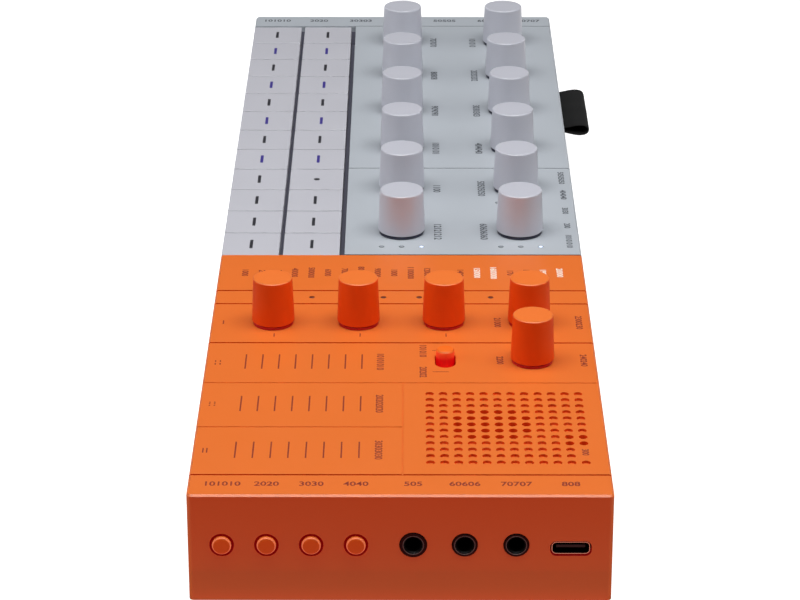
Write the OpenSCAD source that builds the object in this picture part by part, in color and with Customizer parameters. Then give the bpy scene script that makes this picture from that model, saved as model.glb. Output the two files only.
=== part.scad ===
// Portable groovebox: two-colour case, two rows of drum keys, seventeen
// knobs, touch strips, a speaker and a row of sockets on the right end.
// Millimetres. +X runs along the length to the right end, +Y to the back,
// +Z up. The origin is under the middle of the unit, where its feet rest.

/* [Overall] */
// Length from the left end face to the right end face
unit_len = 343; // [330:1:370]
// Depth from the key side to the back
unit_depth = 97; // [94:1:110]
// Height of the case from its lower edge to its top face
case_h = 27.1; // [24.5:0.1:32]
// How far the feet stand out below the case
foot_proud = 0.3; // [0.2:0.1:2]

/* [Case] */
// Thickness of the side and end walls
wall = 2; // [1.6:0.1:2.6]
// Thickness of the top panels
panel_t = 2; // [1.6:0.1:2.4]
// Radius of the upright corners
corner_r = 1.2; // [0.8:0.1:3]
// Chamfer round the top edge
edge_c = 0.45; // [0.2:0.05:0.7]
// Length of the orange section at the right end
orange_len = 139.9; // [134:0.1:150]
// Gap between the two upper cases
seam = 0.3; // [0.2:0.05:0.6]
// Width of the function strip at the left end
left_strip = 10.3; // [8:0.1:12]
// Width of the grooves that divide the panels
groove_w = 0.35; // [0.2:0.05:0.8]
// Depth of the grooves
groove_d = 0.4; // [0.2:0.05:0.8]
// Depth of the faint grooves between the touch strips
faint_d = 0.2; // [0.1:0.05:0.4]

/* [Keys] */
// Number of keys in each row
key_count = 12; // [8:1:16]
// Depth of a key in the front row
front_key_d = 15.4; // [12:0.1:18]
// Depth of a key in the rear row
rear_key_d = 15.25; // [12:0.05:18]
// Gap between keys side by side
key_gap = 0.4; // [0.25:0.05:0.6]
// Gap between the two rows
row_gap = 1.1; // [0.5:0.1:1.5]
// Gap between the rear row and the knob panel
panel_gap = 1.4; // [0.5:0.1:1.6]
// Depth of the key tops below the top face
key_recess = 0.3; // [0:0.1:0.8]
// Height of a key's side faces
key_h = 5; // [4.4:0.1:6]
// Thickness of a key's top
key_top = 1.8; // [1.2:0.1:2.4]
// Thickness of a key's skirt
key_skirt = 1.2; // [0.8:0.1:1.6]
// Chamfer on a key's top edges
key_c = 0.15; // [0.1:0.05:0.5]
// Width and depth of a key's stem
key_stem = 6; // [4:0.1:8]
// Travel of a key
key_travel = 0.8; // [0.5:0.1:1.2]

/* [Knobs] */
// Radius of a track knob at its foot
track_r = 6.45; // [5.5:0.05:7]
// Radius of a track knob at its top
track_top_r = 5.95; // [5:0.05:6.5]
// Radius of an effect knob at its foot
effect_r = 5.45; // [5:0.05:6.5]
// Radius of an effect knob at its top
effect_top_r = 5; // [4.6:0.05:6]
// Height of a track knob above its gap
track_h = 11.5; // [8:0.1:14]
// Height of an effect knob above its gap
effect_h = 11.6; // [8:0.1:14]
// Height of the dark collar below each knob
collar_h = 0.65; // [0.4:0.05:1.5]
// Gap between a collar and its knob
knob_gap = 0.3; // [0.25:0.05:0.6]
// Chamfer on a knob's top edge
knob_c = 0.5; // [0.2:0.05:0.8]
// Thickness of a knob's side wall
knob_wall = 1; // [0.7:0.1:1.2]
// Radius of an encoder shaft
shaft_r = 2.5; // [2:0.05:3]
// Pitch of the track knobs along the unit
track_pitch = 32; // [28:0.1:32]
// Distance of the last track knob from the orange section
track_first = 16.3; // [14:0.1:18]
// Distance of the rear track knobs from the back face
rear_row = 16.2; // [14.5:0.1:18]
// Distance of the front track knobs from the front edge of the knob panel
front_row = 15.35; // [12:0.05:18]
// Distance of the effect knobs from the right end face
effect_col = 95.4; // [94:0.1:98]
// Pitch of the effect knobs
effect_pitch = 21.75; // [20:0.05:22]
// Distance of the master knob from the right end face
master_col = 72.4; // [71:0.1:74]
// Distance of the master knob from the back face
master_row = 15.9; // [14.5:0.1:18]

/* [Slide switch] */
// Radius of the switch cap
slide_r = 2.3; // [1.8:0.05:2.5]
// Height of the cap above the panel
slide_h = 2.4; // [1.5:0.1:6]
// Travel of the switch
slide_travel = 3.5; // [2:0.1:4.5]
// Distance of the slot's middle from the right end face
slide_x = 72.5; // [70:0.1:74]
// Distance of the slot from the back face
slide_y = 37.5; // [35:0.1:40]
// Clearance round the cap in its slot
slide_clear = 0.3; // [0.2:0.05:0.5]

/* [End buttons] */
// Radius of an end button
button_r = 2.2; // [1.8:0.05:2.8]
// How far a button stands out
button_out = 0.9; // [0.2:0.1:2]
// Travel of a button
button_travel = 0.7; // [0.4:0.1:0.9]
// Chamfer round a button's outer end
button_c = 0.7; // [0.3:0.1:1]
// Clearance round a button
button_clear = 0.45; // [0.2:0.05:0.5]
// Pitch of the right end buttons
right_pitch = 10.2; // [8:0.1:11]
// Distance of the first right button from the front face
right_first = 7.8; // [7:0.1:9]
// Pitch of the left end buttons
left_pitch = 13.8; // [10:0.1:14]

/* [Sockets] */
// Depth of the socket axes below the top face
socket_drop = 12.7; // [12:0.1:13.2]
// Bore radius of an audio socket
jack_bore_r = 1.8; // [1.8:0.01:1.85]
// Depth of an audio socket's bore
jack_deep = 14; // [12:0.5:16]
// Outer radius of an audio socket's sleeve
jack_sleeve_r = 2.8; // [2.6:0.05:3]
// Outer radius of the first audio socket's sleeve
first_sleeve_r = 3; // [2.6:0.05:3.2]
// How far the sleeves stand out from the end face
jack_proud = 0.2; // [0:0.1:0.6]
// How far the audio sockets' middle lies behind the midpoint of the last button and the power socket
jack_shift = 0.3; // [0:0.1:1]
// Pitch of the audio sockets
jack_pitch = 11.75; // [9:0.05:12]
// Outer width of the power socket's shell
port_w = 8.9; // [8.8:0.05:9.2]
// Outer height of the power socket's shell
port_h = 3.2; // [3.1:0.05:3.5]
// Sheet thickness of the power socket's shell
port_t = 0.3; // [0.25:0.05:0.4]
// Radius of the power socket's corners
port_corner = 1.2; // [1:0.05:1.5]
// Depth of the power socket
port_deep = 7.5; // [6:0.1:9]
// Distance of the power socket from the back face
port_y = 9.6; // [9:0.1:11]
// Depth of the power socket's middle below the top face
port_drop = 13.6; // [13:0.1:13.9]
// Clearance round the audio sockets in the end wall
socket_clear = 0.2; // [0.1:0.05:0.4]
// Clearance round the power socket in the end wall
port_clear = 0.3; // [0.1:0.05:0.4]

/* [Speaker] */
// Pitch of the grille holes along the unit
grille_pitch = 3.34; // [2.6:0.02:3.4]
// Pitch of the grille holes across the unit
grille_pitch_y = 3.27; // [2.6:0.01:3.4]
// Number of grille holes along each side
grille_count = 12; // [8:1:12]
// Radius of a grille hole
grille_r = 1.05; // [0.5:0.05:1.2]
// Depth of the blind grille holes
grille_d = 0.3; // [0.2:0.1:1]
// Distance of the grille's middle from the right end face
grille_x = 34.8; // [33:0.1:36]
// Distance of the grille's middle from the back face
grille_y = 23.55; // [22:0.05:26]
// Radius of the speaker
speaker_r = 16; // [12:0.5:17]
// Height of the speaker's basket
speaker_h = 4; // [3:0.1:5]
// Radius of the speaker's magnet
magnet_r = 9; // [6:0.5:11]

/* [Inside] */
// Thickness of the circuit board
board_t = 1.6; // [1:0.1:2]
// Thickness of the base cover
base_t = 2; // [1.5:0.1:2.4]
// Depth of the base cover's underside above the case's lower edge
base_recess = 0.4; // [0.2:0.1:1]
// Clearance of inner parts from the case walls
inner_clear = 0.25; // [0.2:0.05:0.6]
// Thickness of the key frame
frame_t = 1.2; // [0.8:0.1:1.6]
// Length of the battery pack
battery_len = 70; // [50:1:75]
// Width of the battery pack
battery_w = 50; // [30:1:60]
// Clearance round the battery pack's cell and below the board
battery_clear = 0.5; // [0.3:0.1:1]
// Radius of a light guide in the panel
light_r = 0.65; // [0.4:0.05:0.8]
// Gap of solder between the board and what stands on it
solder = 0.02; // [0.01:0.01:0.1]
// Width of the switch below each key
switch_w = 6; // [4:0.1:7]
// Height of the body of the switch below each key
switch_h = 3.2; // [2.5:0.1:3.6]
// Depth of the switch behind each end button
side_deep = 4.5; // [4:0.1:4.8]
// Width and height of the switch behind each end button
side_w = 6; // [5:0.1:6.5]
// Length of the body below the slide switch
slide_body_len = 11; // [9:0.5:14]
// Width of the body below the slide switch
slide_body_w = 5; // [4:0.5:8]
// Height of the body below the slide switch
slide_body_h = 4.5; // [3:0.1:6]
// Height of the chips on the board
chip_h = 1.2; // [0.8:0.1:2]

/* [Tab] */
// Width of the fabric tab along the unit
tab_w = 33.5; // [20:0.5:40]
// How far the tab's loop stands out from the back
tab_out = 9.7; // [6:0.1:14]
// Thickness of the loop at its widest
tab_h = 3.8; // [3:0.1:5]
// Thickness of the ribbon
tab_t = 0.7; // [0.4:0.1:0.9]
// Distance of the tab's middle from the left end face
tab_x = 57.5; // [40:0.5:90]
// Depth of the tab below the top face
tab_drop = 12.5; // [10:0.1:13]

/* [Feet and screws] */
// Width of a foot strip along the unit
foot_w = 6; // [4:0.5:12]
// Length of a foot strip across the unit
foot_len = 80; // [60:1:88]
// Distance of the outer feet from the end faces
foot_x = 31.5; // [28:0.5:33]
// Radius of a screw's shank
screw_r = 1.25; // [1:0.05:1.4]
// Radius of a screw's head
screw_head_r = 2.3; // [2.1:0.05:2.6]
// Height of a screw's head
screw_head_h = 1.3; // [1:0.1:1.4]
// Radius of a screw boss
boss_r = 3.1; // [2.8:0.1:3.3]

/* [Hidden] */
$fn = 48;
front_keys = [for (i = [1:key_count]) str("front_key_", i)];
rear_keys = [for (i = [1:key_count]) str("rear_key_", i)];
track_count = 6;
effect_count = 4;
right_count = 4;
left_count = 7;
jack_count = 3;
front_knobs = [for (i = [1:track_count]) str("front_track_knob_", i)];
rear_knobs = [for (i = [1:track_count]) str("rear_track_knob_", i)];
effect_knobs = [for (i = [1:effect_count]) str("effect_knob_", i)];
right_buttons = [for (i = [1:right_count]) str("right_end_button_", i)];

// Faces and levels of the case
right_x = unit_len / 2;
left_x = -unit_len / 2;
back_y = unit_depth / 2;
front_y = -unit_depth / 2;
case_top = foot_proud + case_h;
panel_under = case_top - panel_t;
seam_x = right_x - orange_len;
strip_x = left_x + left_strip;
small = 0.01;
cut = 1; // how far a cutting shape runs past the face that it opens

// Keys
key_pitch = (seam_x - strip_x) / key_count;
key_w = key_pitch - key_gap;
rear_key_y = front_y + front_key_d + row_gap;
panel_y = rear_key_y + rear_key_d + panel_gap;
run_clear = 0.25;
stem_proud = 0.6;
rib_t = 1.2;
key_level = case_top - key_recess;
frame_top = key_level - key_h - key_travel - run_clear;
stem_under = frame_top - frame_t - stem_proud;

// Board and base
base_z = foot_proud + base_recess;
base_top = base_z + base_t;
jack_half = 3;
socket_z = case_top - socket_drop;
board_top = socket_z - jack_half;
board_z = board_top - board_t;

// Knobs
shaft_clear = 0.05;
bush_wall = 0.8;
bush_r = shaft_r + bush_wall;
collar_bore = bush_r + 0.2;
collar_tube_r = collar_bore + 0.7;
collar_inset = 0.35;
collar_root = 1;
encoder_w = 11.6;
encoder_h = 6.5;
shaft_sink = 1.4;
shaft_room = 0.1;
hub_wall = 1.2;
hub_gap = 0.2;
knob_roof = 2;
bore_roof = 1;
cap_c = 0.4;
knob_z = case_top + collar_h + knob_gap;
front_row_y = panel_y + front_row;
rear_row_y = back_y - rear_row;
effect_x = right_x - effect_col;
master_x = right_x - master_col;
function track_x(i) = seam_x - track_first - track_pitch * (track_count - i);
function effect_y(i) = effect_pitch * (i - (effect_count + 1) / 2);
track_places = [for (i = [1:track_count], y = [front_row_y, rear_row_y]) [track_x(i), y]];
effect_places = concat(
    [for (i = [1:effect_count]) [effect_x, effect_y(i)]],
    [[master_x, back_y - master_row]]
);

// Panel grooves, each as its distance from the right end face
end_groove = 10.2;
strip_groove = 35;
touch_groove = 59.4;
knob_groove = 82.9;
light_groove = 107.2;
label_groove = 115.7;
touch_split_groove = 48;
touch_split = back_y - touch_split_groove;
grey_split = seam_x - key_pitch * 4;

// Light guides: one row in the orange section, three by each right-hand track knob
light_row = 6;
light_pitch = 9.3;
light_col = 111.4;
light_x = right_x - light_col;
track_light_x = 10.7;
track_light_y = 5.4;
light_clear = 0.1;
lights = concat(
    [for (i = [0:light_row - 1]) [light_x, light_pitch * (i - (light_row - 1) / 2)]],
    [for (i = [track_count - 1, track_count], y = [front_row_y, rear_row_y], k = [-1:1])
        [track_x(i) + track_light_x, y + k * track_light_y]]
);

// Slide switch
slide_mid = right_x - slide_x;
slide_mid_y = back_y - slide_y;
slide_rest = slide_mid - slide_travel / 2;
slide_slot_r = slide_r + slide_clear;

// Slide switch cap: its cover plate and stem
slide_plate_t = 0.9;
slide_plate_lap = 1;
slide_stem = 2;

// End buttons and the switches behind them
flange_t = 0.8;
flange_lap = 0.5;
button_stem = 2;
button_stem_r = 1.2;
press_gap = 0.05;
plunger_len = 1.1;
plunger_r = 1.4;
key_plunger_r = 1.7;
side_tip = wall + run_clear + flange_t + button_stem + button_travel + press_gap;
side_room = side_tip + side_deep + inner_clear;
board_gap = wall + run_clear + flange_t + button_travel + inner_clear;

// Sockets
jack_body_w = 5.8;
jack_gap = 0.2;
jack_lead = 0.4;
sleeve_root = 1;
port_inset = 0.1;
port_back_t = 0.8;
port_foot_len = 3;
port_foot_x = 2.2;
port_foot_t = 1;
port_foot_back = 1;
port_foot_sink = 0.05;
tongue_w = 6.7;
tongue_t = 0.7;
tongue_short = 1.2;
function right_y(i) = front_y + right_first + right_pitch * (i - 1);
function left_y(i) = left_pitch * (i - (left_count + 1) / 2);
port_mid_y = back_y - port_y;
jack_mid_y = (right_y(right_count) + port_mid_y) / 2 + jack_shift;
function jack_y(i) = jack_mid_y + jack_pitch * (i - (jack_count + 1) / 2);
function sleeve_r(i) = i == 1 ? first_sleeve_r : jack_sleeve_r;
port_z = case_top - port_drop;

// Grille
grille_mid = right_x - grille_x;
grille_mid_y = back_y - grille_y;

// Speaker cone
cone_r = 4;
cone_rim = 1.5;
cone_floor = 1;
magnet_gap = 0.3;

// Fasteners, and the room round the tab
screw_grip = 6;
slot_len = 2.4;
slot_w = 0.5;
slot_deep = 0.6;
tab_slot_clear = 0.1;
tab_root = 0.8;
tab_stop = 2;
tab_crease = 0.2;
tab_pocket = 0.9;
head_clear = 0.2;
head_inset = 0.1;
hole_clear = 0.15;
side_boss = 5.9;
panel_boss = 4;
grey_seam_boss = 11.4;
orange_seam_boss = 13.6;
middle_boss = 61.5;
end_boss = 19.5;
back_boss_y = back_y - side_boss;
front_boss_y = front_y + side_boss;
panel_boss_y = panel_y + panel_boss;
boss_left = left_x + side_room + boss_r;
boss_mid = track_x(3) + track_pitch / 2;
boss_seam = seam_x - grey_seam_boss;
boss_orange = seam_x + orange_seam_boss;
boss_far = right_x - middle_boss;
boss_end = right_x - end_boss;
grey_bosses = [for (x = [boss_left, boss_mid, boss_seam], y = [panel_boss_y, back_boss_y]) [x, y]];
orange_bosses = [for (x = [boss_orange, boss_far, boss_end], y = [front_boss_y, back_boss_y]) [x, y]];
bosses = concat(grey_bosses, orange_bosses);
battery_x = (boss_mid + boss_seam) / 2;

// Chips on the board
processor_w = 12;
memory_len = 9;
memory_w = 8;
chip_gap_x = 7;
chip_gap_y = 3;
chip_y = front_boss_y + boss_r + chip_gap_y;
processor_x = boss_orange + boss_r + chip_gap_x;
memory_x = boss_far - boss_r - memory_len - chip_gap_x;

// Fabric tab
tab_mid = left_x + tab_x;
tab_z = case_top - tab_drop;

orange = [0.91, 0.44, 0.16];
dark_orange = [0.78, 0.30, 0.10];
grey = [0.70, 0.72, 0.76];
key_grey = [0.76, 0.77, 0.80];
knob_grey = [0.74, 0.75, 0.79];
black = [0.07, 0.07, 0.08];

// A profile with its two top corners cut off
module cut_profile(w, h, c) {
    polygon([[0, 0], [w, 0], [w, h - c], [w - c, h], [c, h], [0, h - c]]);
}

// A block whose four top edges are chamfered, from its low corner
module chamfered_block(w, d, h, c) {
    intersection() {
        translate([0, d, 0]) rotate([90, 0, 0]) linear_extrude(d) cut_profile(w, h, c);
        rotate([90, 0, 90]) linear_extrude(w) cut_profile(d, h, c);
    }
}

// The whole case as a solid, with round upright corners and a chamfered top edge
module case_block() {
    inner_len = unit_len - 2 * corner_r;
    inner_depth = unit_depth - 2 * corner_r;
    translate([left_x, front_y, foot_proud]) {
        translate([corner_r, 0, 0]) rotate([90, 0, 90])
            linear_extrude(inner_len) cut_profile(unit_depth, case_h, edge_c);
        translate([0, corner_r + inner_depth, 0]) rotate([90, 0, 0])
            linear_extrude(inner_depth) cut_profile(unit_len, case_h, edge_c);
        for (x = [corner_r, unit_len - corner_r], y = [corner_r, unit_depth - corner_r])
            translate([x, y, 0]) {
                cylinder(r = corner_r, h = case_h - edge_c);
                translate([0, 0, case_h - edge_c])
                    cylinder(r1 = corner_r, r2 = corner_r - edge_c, h = edge_c);
            }
    }
}

// The room inside the case walls, open below
module case_room() {
    translate([left_x + wall, front_y + wall, foot_proud - cut])
        cube([unit_len - 2 * wall, unit_depth - 2 * wall, panel_under - foot_proud + cut]);
}

// One straight groove across a panel, centred on x, between two depths
module cross_groove(x, y0, y1, deep) {
    translate([x - groove_w / 2, y0, case_top - deep])
        cube([groove_w, y1 - y0, deep + cut]);
}

// Pillars with pilot holes for the case screws
module case_bosses(places) {
    for (p = places)
        translate([p[0], p[1], board_top])
            cylinder(r = boss_r, h = panel_under - board_top + small);
}

module boss_holes(places) {
    for (p = places)
        translate([p[0], p[1], board_top - cut])
            cylinder(r = screw_r + shaft_clear, h = screw_grip + 2 * cut);
}

// Round hole through a panel
module panel_hole(p, r) {
    translate([p[0], p[1], panel_under - cut]) cylinder(r = r, h = panel_t + 2 * cut);
}

// Round hole through an end wall; side is 1 at the right end and -1 at the left
module end_hole(side, y, z, r) {
    translate([side * (right_x - wall / 2), y, z]) rotate([0, 90, 0])
        cylinder(r = r, h = wall + 2 * cut, center = true);
}

module grey_upper_case() {
    key_zone = seam_x - strip_x + key_gap;
    color(grey) difference() {
        union() {
            difference() {
                intersection() {
                    case_block();
                    translate([left_x - cut, front_y - cut, 0])
                        cube([seam_x - seam / 2 - left_x + cut, unit_depth + 2 * cut, case_top + cut]);
                }
                case_room();
                // room for the keys, open at the front
                translate([strip_x - key_gap / 2, front_y - cut, frame_top])
                    cube([key_zone, panel_y - front_y + cut, case_h]);
            }
            case_bosses(grey_bosses);
        }
        boss_holes(grey_bosses);
        cross_groove(strip_x - key_gap / 2, panel_y - small, back_y + cut, groove_d);
        cross_groove(grey_split, panel_y - cut, back_y + cut, groove_d);
        for (p = track_places) panel_hole(p, collar_tube_r + run_clear);
        for (p = lights) panel_hole(p, light_r + light_clear);
        for (i = [1:left_count]) end_hole(-1, left_y(i), socket_z, button_r + button_clear);
        // slot for the fabric tab
        translate([tab_mid, back_y - wall / 2, tab_z])
            cube([tab_w, wall, 2 * tab_t] + 2 * [tab_slot_clear, cut, tab_slot_clear], center = true);
    }
}

// One grille hole: deep ones pass through the panel above the cone and the microphone
function hole_is_open(i, j) =
    (i == 3 || i == 7) && j >= 3 && j <= 6
    || i >= 4 && i <= 6 && j >= 2 && j <= 7
    || (i == 7 || i == 8) && j >= 10;
function hole_is_left_out(i, j) = (i == 9 || i == 10) && j == 11;

module grille_holes() {
    last = grille_count - 1;
    for (i = [0:last], j = [0:last])
        if (!hole_is_left_out(i, j)) {
            deep = hole_is_open(i, j) ? panel_t + cut : grille_d;
            translate([
                grille_mid + grille_pitch * (i - last / 2),
                grille_mid_y + grille_pitch_y * (j - last / 2),
                case_top - deep
            ]) cylinder(r = grille_r, h = deep + cut, $fn = 24);
        }
}

module slide_slot() {
    for (s = [-1, 1])
        panel_hole([slide_mid + s * slide_travel / 2, slide_mid_y], slide_slot_r);
    translate([slide_mid - slide_travel / 2, slide_mid_y - slide_slot_r, panel_under - cut])
        cube([slide_travel, 2 * slide_slot_r, panel_t + 2 * cut]);
}

// The power socket's outline, grown by an amount, drawn upright
module port_outline(grow) {
    r = port_corner + grow;
    across = port_w - 2 * port_corner;
    up = port_h - 2 * port_corner;
    square([across, up + 2 * r], center = true);
    square([across + 2 * r, up], center = true);
    for (s = [-1, 1], t = [-1, 1]) translate([s * across / 2, t * up / 2]) circle(r = r);
}

// A flat outline stood up across X, from x inwards over a depth
module along_x(x, y, z, deep) {
    translate([x, y, z]) rotate([90, 0, 90]) translate([0, 0, -deep]) linear_extrude(deep) children();
}

module orange_upper_case() {
    color(orange) difference() {
        union() {
            difference() {
                intersection() {
                    case_block();
                    translate([seam_x + seam / 2, front_y - cut, 0])
                        cube([orange_len + cut, unit_depth + 2 * cut, case_top + cut]);
                }
                case_room();
            }
            case_bosses(orange_bosses);
        }
        boss_holes(orange_bosses);
        for (d = [end_groove, knob_groove, light_groove, label_groove])
            cross_groove(right_x - d, front_y - cut, back_y + cut, groove_d);
        cross_groove(right_x - touch_groove, front_y - cut, back_y + cut, faint_d);
        cross_groove(right_x - strip_groove, front_y - cut, touch_split, faint_d);
        // groove between the touch strips and the grille
        translate([right_x - touch_groove, touch_split - groove_w / 2, case_top - faint_d])
            cube([touch_groove - end_groove, groove_w, cut]);
        for (p = effect_places) panel_hole(p, collar_tube_r + run_clear);
        for (p = lights) panel_hole(p, light_r + light_clear);
        slide_slot();
        grille_holes();
        for (i = [1:right_count]) end_hole(1, right_y(i), socket_z, button_r + button_clear);
        for (i = [1:jack_count]) end_hole(1, jack_y(i), socket_z, sleeve_r(i) + socket_clear);
        along_x(right_x + cut, port_mid_y, port_z, wall + 2 * cut) port_outline(port_clear);
    }
}

module base_cover() {
    gap = wall + inner_clear;
    color(grey) difference() {
        union() {
            translate([left_x + gap, front_y + gap, base_z])
                cube([unit_len - 2 * gap, unit_depth - 2 * gap, base_t]);
            // pillars that carry the board
            for (p = bosses)
                translate([p[0], p[1], base_z]) cylinder(r = boss_r, h = board_z - base_z);
        }
        for (p = bosses)
            translate([p[0], p[1], base_z - cut]) {
                cylinder(r = screw_r + hole_clear, h = board_z - base_z + 2 * cut);
                cylinder(r = screw_head_r + head_clear, h = screw_head_h + cut);
            }
    }
}

function key_x(i) = strip_x + key_pitch * (i - 1) + key_gap / 2;

// One drum key: a skirted cap with a stem down to its switch
module drum_key(i, y, d) {
    mid_x = key_x(i) + key_w / 2;
    mid_y = y + d / 2;
    color(key_grey) {
        difference() {
            translate([key_x(i), y, key_level - key_h]) chamfered_block(key_w, d, key_h, key_c);
            translate([key_x(i) + key_skirt, y + key_skirt, key_level - key_h - cut])
                cube([key_w - 2 * key_skirt, d - 2 * key_skirt, key_h - key_top + cut]);
        }
        translate([mid_x - key_stem / 2, mid_y - key_stem / 2, stem_under])
            cube([key_stem, key_stem, key_level - key_top - stem_under + small]);
    }
}

// Black frame under the keys: a plate with a guide hole for each stem, on three ribs
module key_frame() {
    x0 = left_x + side_room;
    frame_len = seam_x - inner_clear - x0;
    y0 = front_y + wall + inner_clear;
    y1 = panel_y - inner_clear;
    rib_places = [y0, rear_key_y - (row_gap + rib_t) / 2, y1 - rib_t];
    guide = key_stem + 2 * run_clear;
    color(black) {
        difference() {
            translate([x0, y0, frame_top - frame_t]) cube([frame_len, y1 - y0, frame_t]);
            for (i = [1:key_count], row = [[front_y, front_key_d], [rear_key_y, rear_key_d]])
                translate([key_x(i) + key_w / 2, row[0] + row[1] / 2, frame_top])
                    cube([guide, guide, 2 * (frame_t + cut)], center = true);
        }
        for (y = rib_places)
            translate([x0, y, board_top]) cube([frame_len, rib_t, frame_top - frame_t - board_top + small]);
    }
}

// A push switch standing on the board: body and actuator
module key_switch(x, y) {
    tip = stem_under - key_travel - press_gap;
    body_top = board_top + switch_h;
    translate([x - switch_w / 2, y - switch_w / 2, board_top + solder])
        cube([switch_w, switch_w, switch_h - solder]);
    translate([x, y, body_top - small]) cylinder(r = key_plunger_r, h = tip - body_top + small, $fn = 24);
}

// A side switch behind an end button; drawn for the right end
module side_switch(y) {
    tip = right_x - side_tip;
    body_len = side_deep - plunger_len;
    translate([tip - side_deep, y - side_w / 2, board_top + solder]) cube([body_len, side_w, side_w]);
    translate([tip - plunger_len - small, y, socket_z]) rotate([0, 90, 0])
        cylinder(r = plunger_r, h = plunger_len + small, $fn = 24);
}

module circuit_board() {
    side_gap = wall + inner_clear;
    color([0.10, 0.32, 0.20]) difference() {
        translate([left_x + board_gap, front_y + side_gap, board_z])
            cube([unit_len - 2 * board_gap, unit_depth - 2 * side_gap, board_t]);
        for (p = bosses)
            translate([p[0], p[1], board_z - cut])
                cylinder(r = screw_r + hole_clear, h = board_t + 2 * cut);
    }
    color(black) {
        for (i = [1:key_count]) {
            key_switch(key_x(i) + key_w / 2, front_y + front_key_d / 2);
            key_switch(key_x(i) + key_w / 2, rear_key_y + rear_key_d / 2);
        }
        for (i = [1:right_count]) side_switch(right_y(i));
        for (i = [1:left_count]) mirror([1, 0, 0]) side_switch(left_y(i));
        // slide switch body, processor and memory
        translate([0, 0, board_top + solder]) {
            translate([slide_mid - slide_body_len / 2, slide_mid_y - slide_body_w / 2, 0])
                cube([slide_body_len, slide_body_w, slide_body_h - solder]);
            translate([processor_x, chip_y, 0]) cube([processor_w, processor_w, chip_h]);
            translate([memory_x, chip_y, 0]) cube([memory_len, memory_w, chip_h]);
        }
    }
    // light guides from the board up to the panels
    color([0.35, 0.36, 0.40]) for (p = lights)
        translate([p[0], p[1], board_top + solder])
            cylinder(r = light_r, h = case_top - board_top - solder, $fn = 24);
}

// One encoder: square body, hollow bush and the dark collar round the shaft
module encoder(p, knob_r) {
    body_top = board_top + encoder_h;
    translate([p[0], p[1], 0]) {
        difference() {
            union() {
                translate([-encoder_w / 2, -encoder_w / 2, board_top + solder])
                    cube([encoder_w, encoder_w, encoder_h - solder]);
                translate([0, 0, body_top - small]) cylinder(r = bush_r, h = panel_under - body_top);
            }
            translate([0, 0, body_top - shaft_sink - shaft_room])
                cylinder(r = shaft_r + shaft_clear, h = case_h);
        }
        difference() {
            union() {
                translate([0, 0, panel_under - collar_root])
                    cylinder(r = collar_tube_r, h = panel_t + collar_root + small);
                translate([0, 0, case_top]) cylinder(r = knob_r - collar_inset, h = collar_h);
            }
            translate([0, 0, panel_under - collar_root - cut]) cylinder(r = collar_bore, h = case_h);
        }
    }
}

module knob_encoders() {
    color(black) {
        for (p = track_places) encoder(p, track_r);
        for (p = effect_places) encoder(p, effect_r);
    }
}

// One knob with its shaft. The cap is hollow, with a hub that grips the shaft
module knob(p, foot_r, top_r, h, tint) {
    knob_top = knob_z + h;
    hub_r = shaft_r + hub_wall;
    hub_z = knob_z + hub_gap;
    roof = knob_top - knob_roof;
    bore_top = roof - bore_roof;
    bore_r = shaft_r + shaft_clear;
    shaft_z = board_top + encoder_h - shaft_sink;
    translate([p[0], p[1], 0]) {
        color(tint) rotate_extrude() polygon([
            [0, bore_top], [bore_r, bore_top], [bore_r, hub_z], [hub_r, hub_z],
            [hub_r, roof], [top_r - knob_wall, roof], [foot_r - knob_wall, knob_z], [foot_r, knob_z],
            [top_r, knob_top - knob_c], [top_r - knob_c, knob_top], [0, knob_top]
        ]);
        color("silver") translate([0, 0, shaft_z])
            cylinder(r = shaft_r, h = bore_top - shaft_room - shaft_z);
    }
}

module front_track_knob(i) { knob([track_x(i), front_row_y], track_r, track_top_r, track_h, knob_grey); }
module rear_track_knob(i) { knob([track_x(i), rear_row_y], track_r, track_top_r, track_h, knob_grey); }
module effect_knob(i) { knob(effect_places[i - 1], effect_r, effect_top_r, effect_h, dark_orange); }
module master_knob() { knob(effect_places[effect_count], effect_r, effect_top_r, effect_h, dark_orange); }

// Slide switch cap: round cap, cover plate below the slot and a stem to the switch
module slide_switch() {
    plate_top = panel_under - run_clear;
    plate_z = plate_top - slide_plate_t;
    plate_len = 2 * (slide_slot_r + slide_travel + slide_plate_lap);
    plate_w = 2 * (slide_slot_r + slide_plate_lap);
    stem_z = board_top + slide_body_h + run_clear;
    cap_z = case_top + slide_h - cap_c;
    color(dark_orange) translate([slide_rest, slide_mid_y, 0]) {
        translate([0, 0, plate_top - small]) cylinder(r = slide_r, h = cap_z - plate_top + small);
        translate([0, 0, cap_z]) cylinder(r1 = slide_r, r2 = slide_r - cap_c, h = cap_c);
        translate([-plate_len / 2, -plate_w / 2, plate_z]) cube([plate_len, plate_w, slide_plate_t]);
        translate([-slide_stem / 2, -slide_stem / 2, stem_z])
            cube([slide_stem, slide_stem, plate_z - stem_z + small]);
    }
}

// One end button at the right end: chamfered cap, flange behind the wall and stem
module end_button(y) {
    flange_x = right_x - wall - run_clear - flange_t;
    cap_len = right_x + button_out - button_c - flange_x;
    translate([flange_x, y, socket_z]) rotate([0, 90, 0]) {
        cylinder(r = button_r + button_clear + flange_lap, h = flange_t);
        cylinder(r = button_r, h = cap_len);
        translate([0, 0, cap_len]) cylinder(r1 = button_r, r2 = button_r - button_c, h = button_c);
        translate([0, 0, -button_stem]) cylinder(r = button_stem_r, h = button_stem + small);
    }
}

module right_end_button(i) { color(dark_orange) end_button(right_y(i)); }
module left_end_buttons() {
    color(key_grey) for (i = [1:left_count]) mirror([1, 0, 0]) end_button(left_y(i));
}

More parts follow.
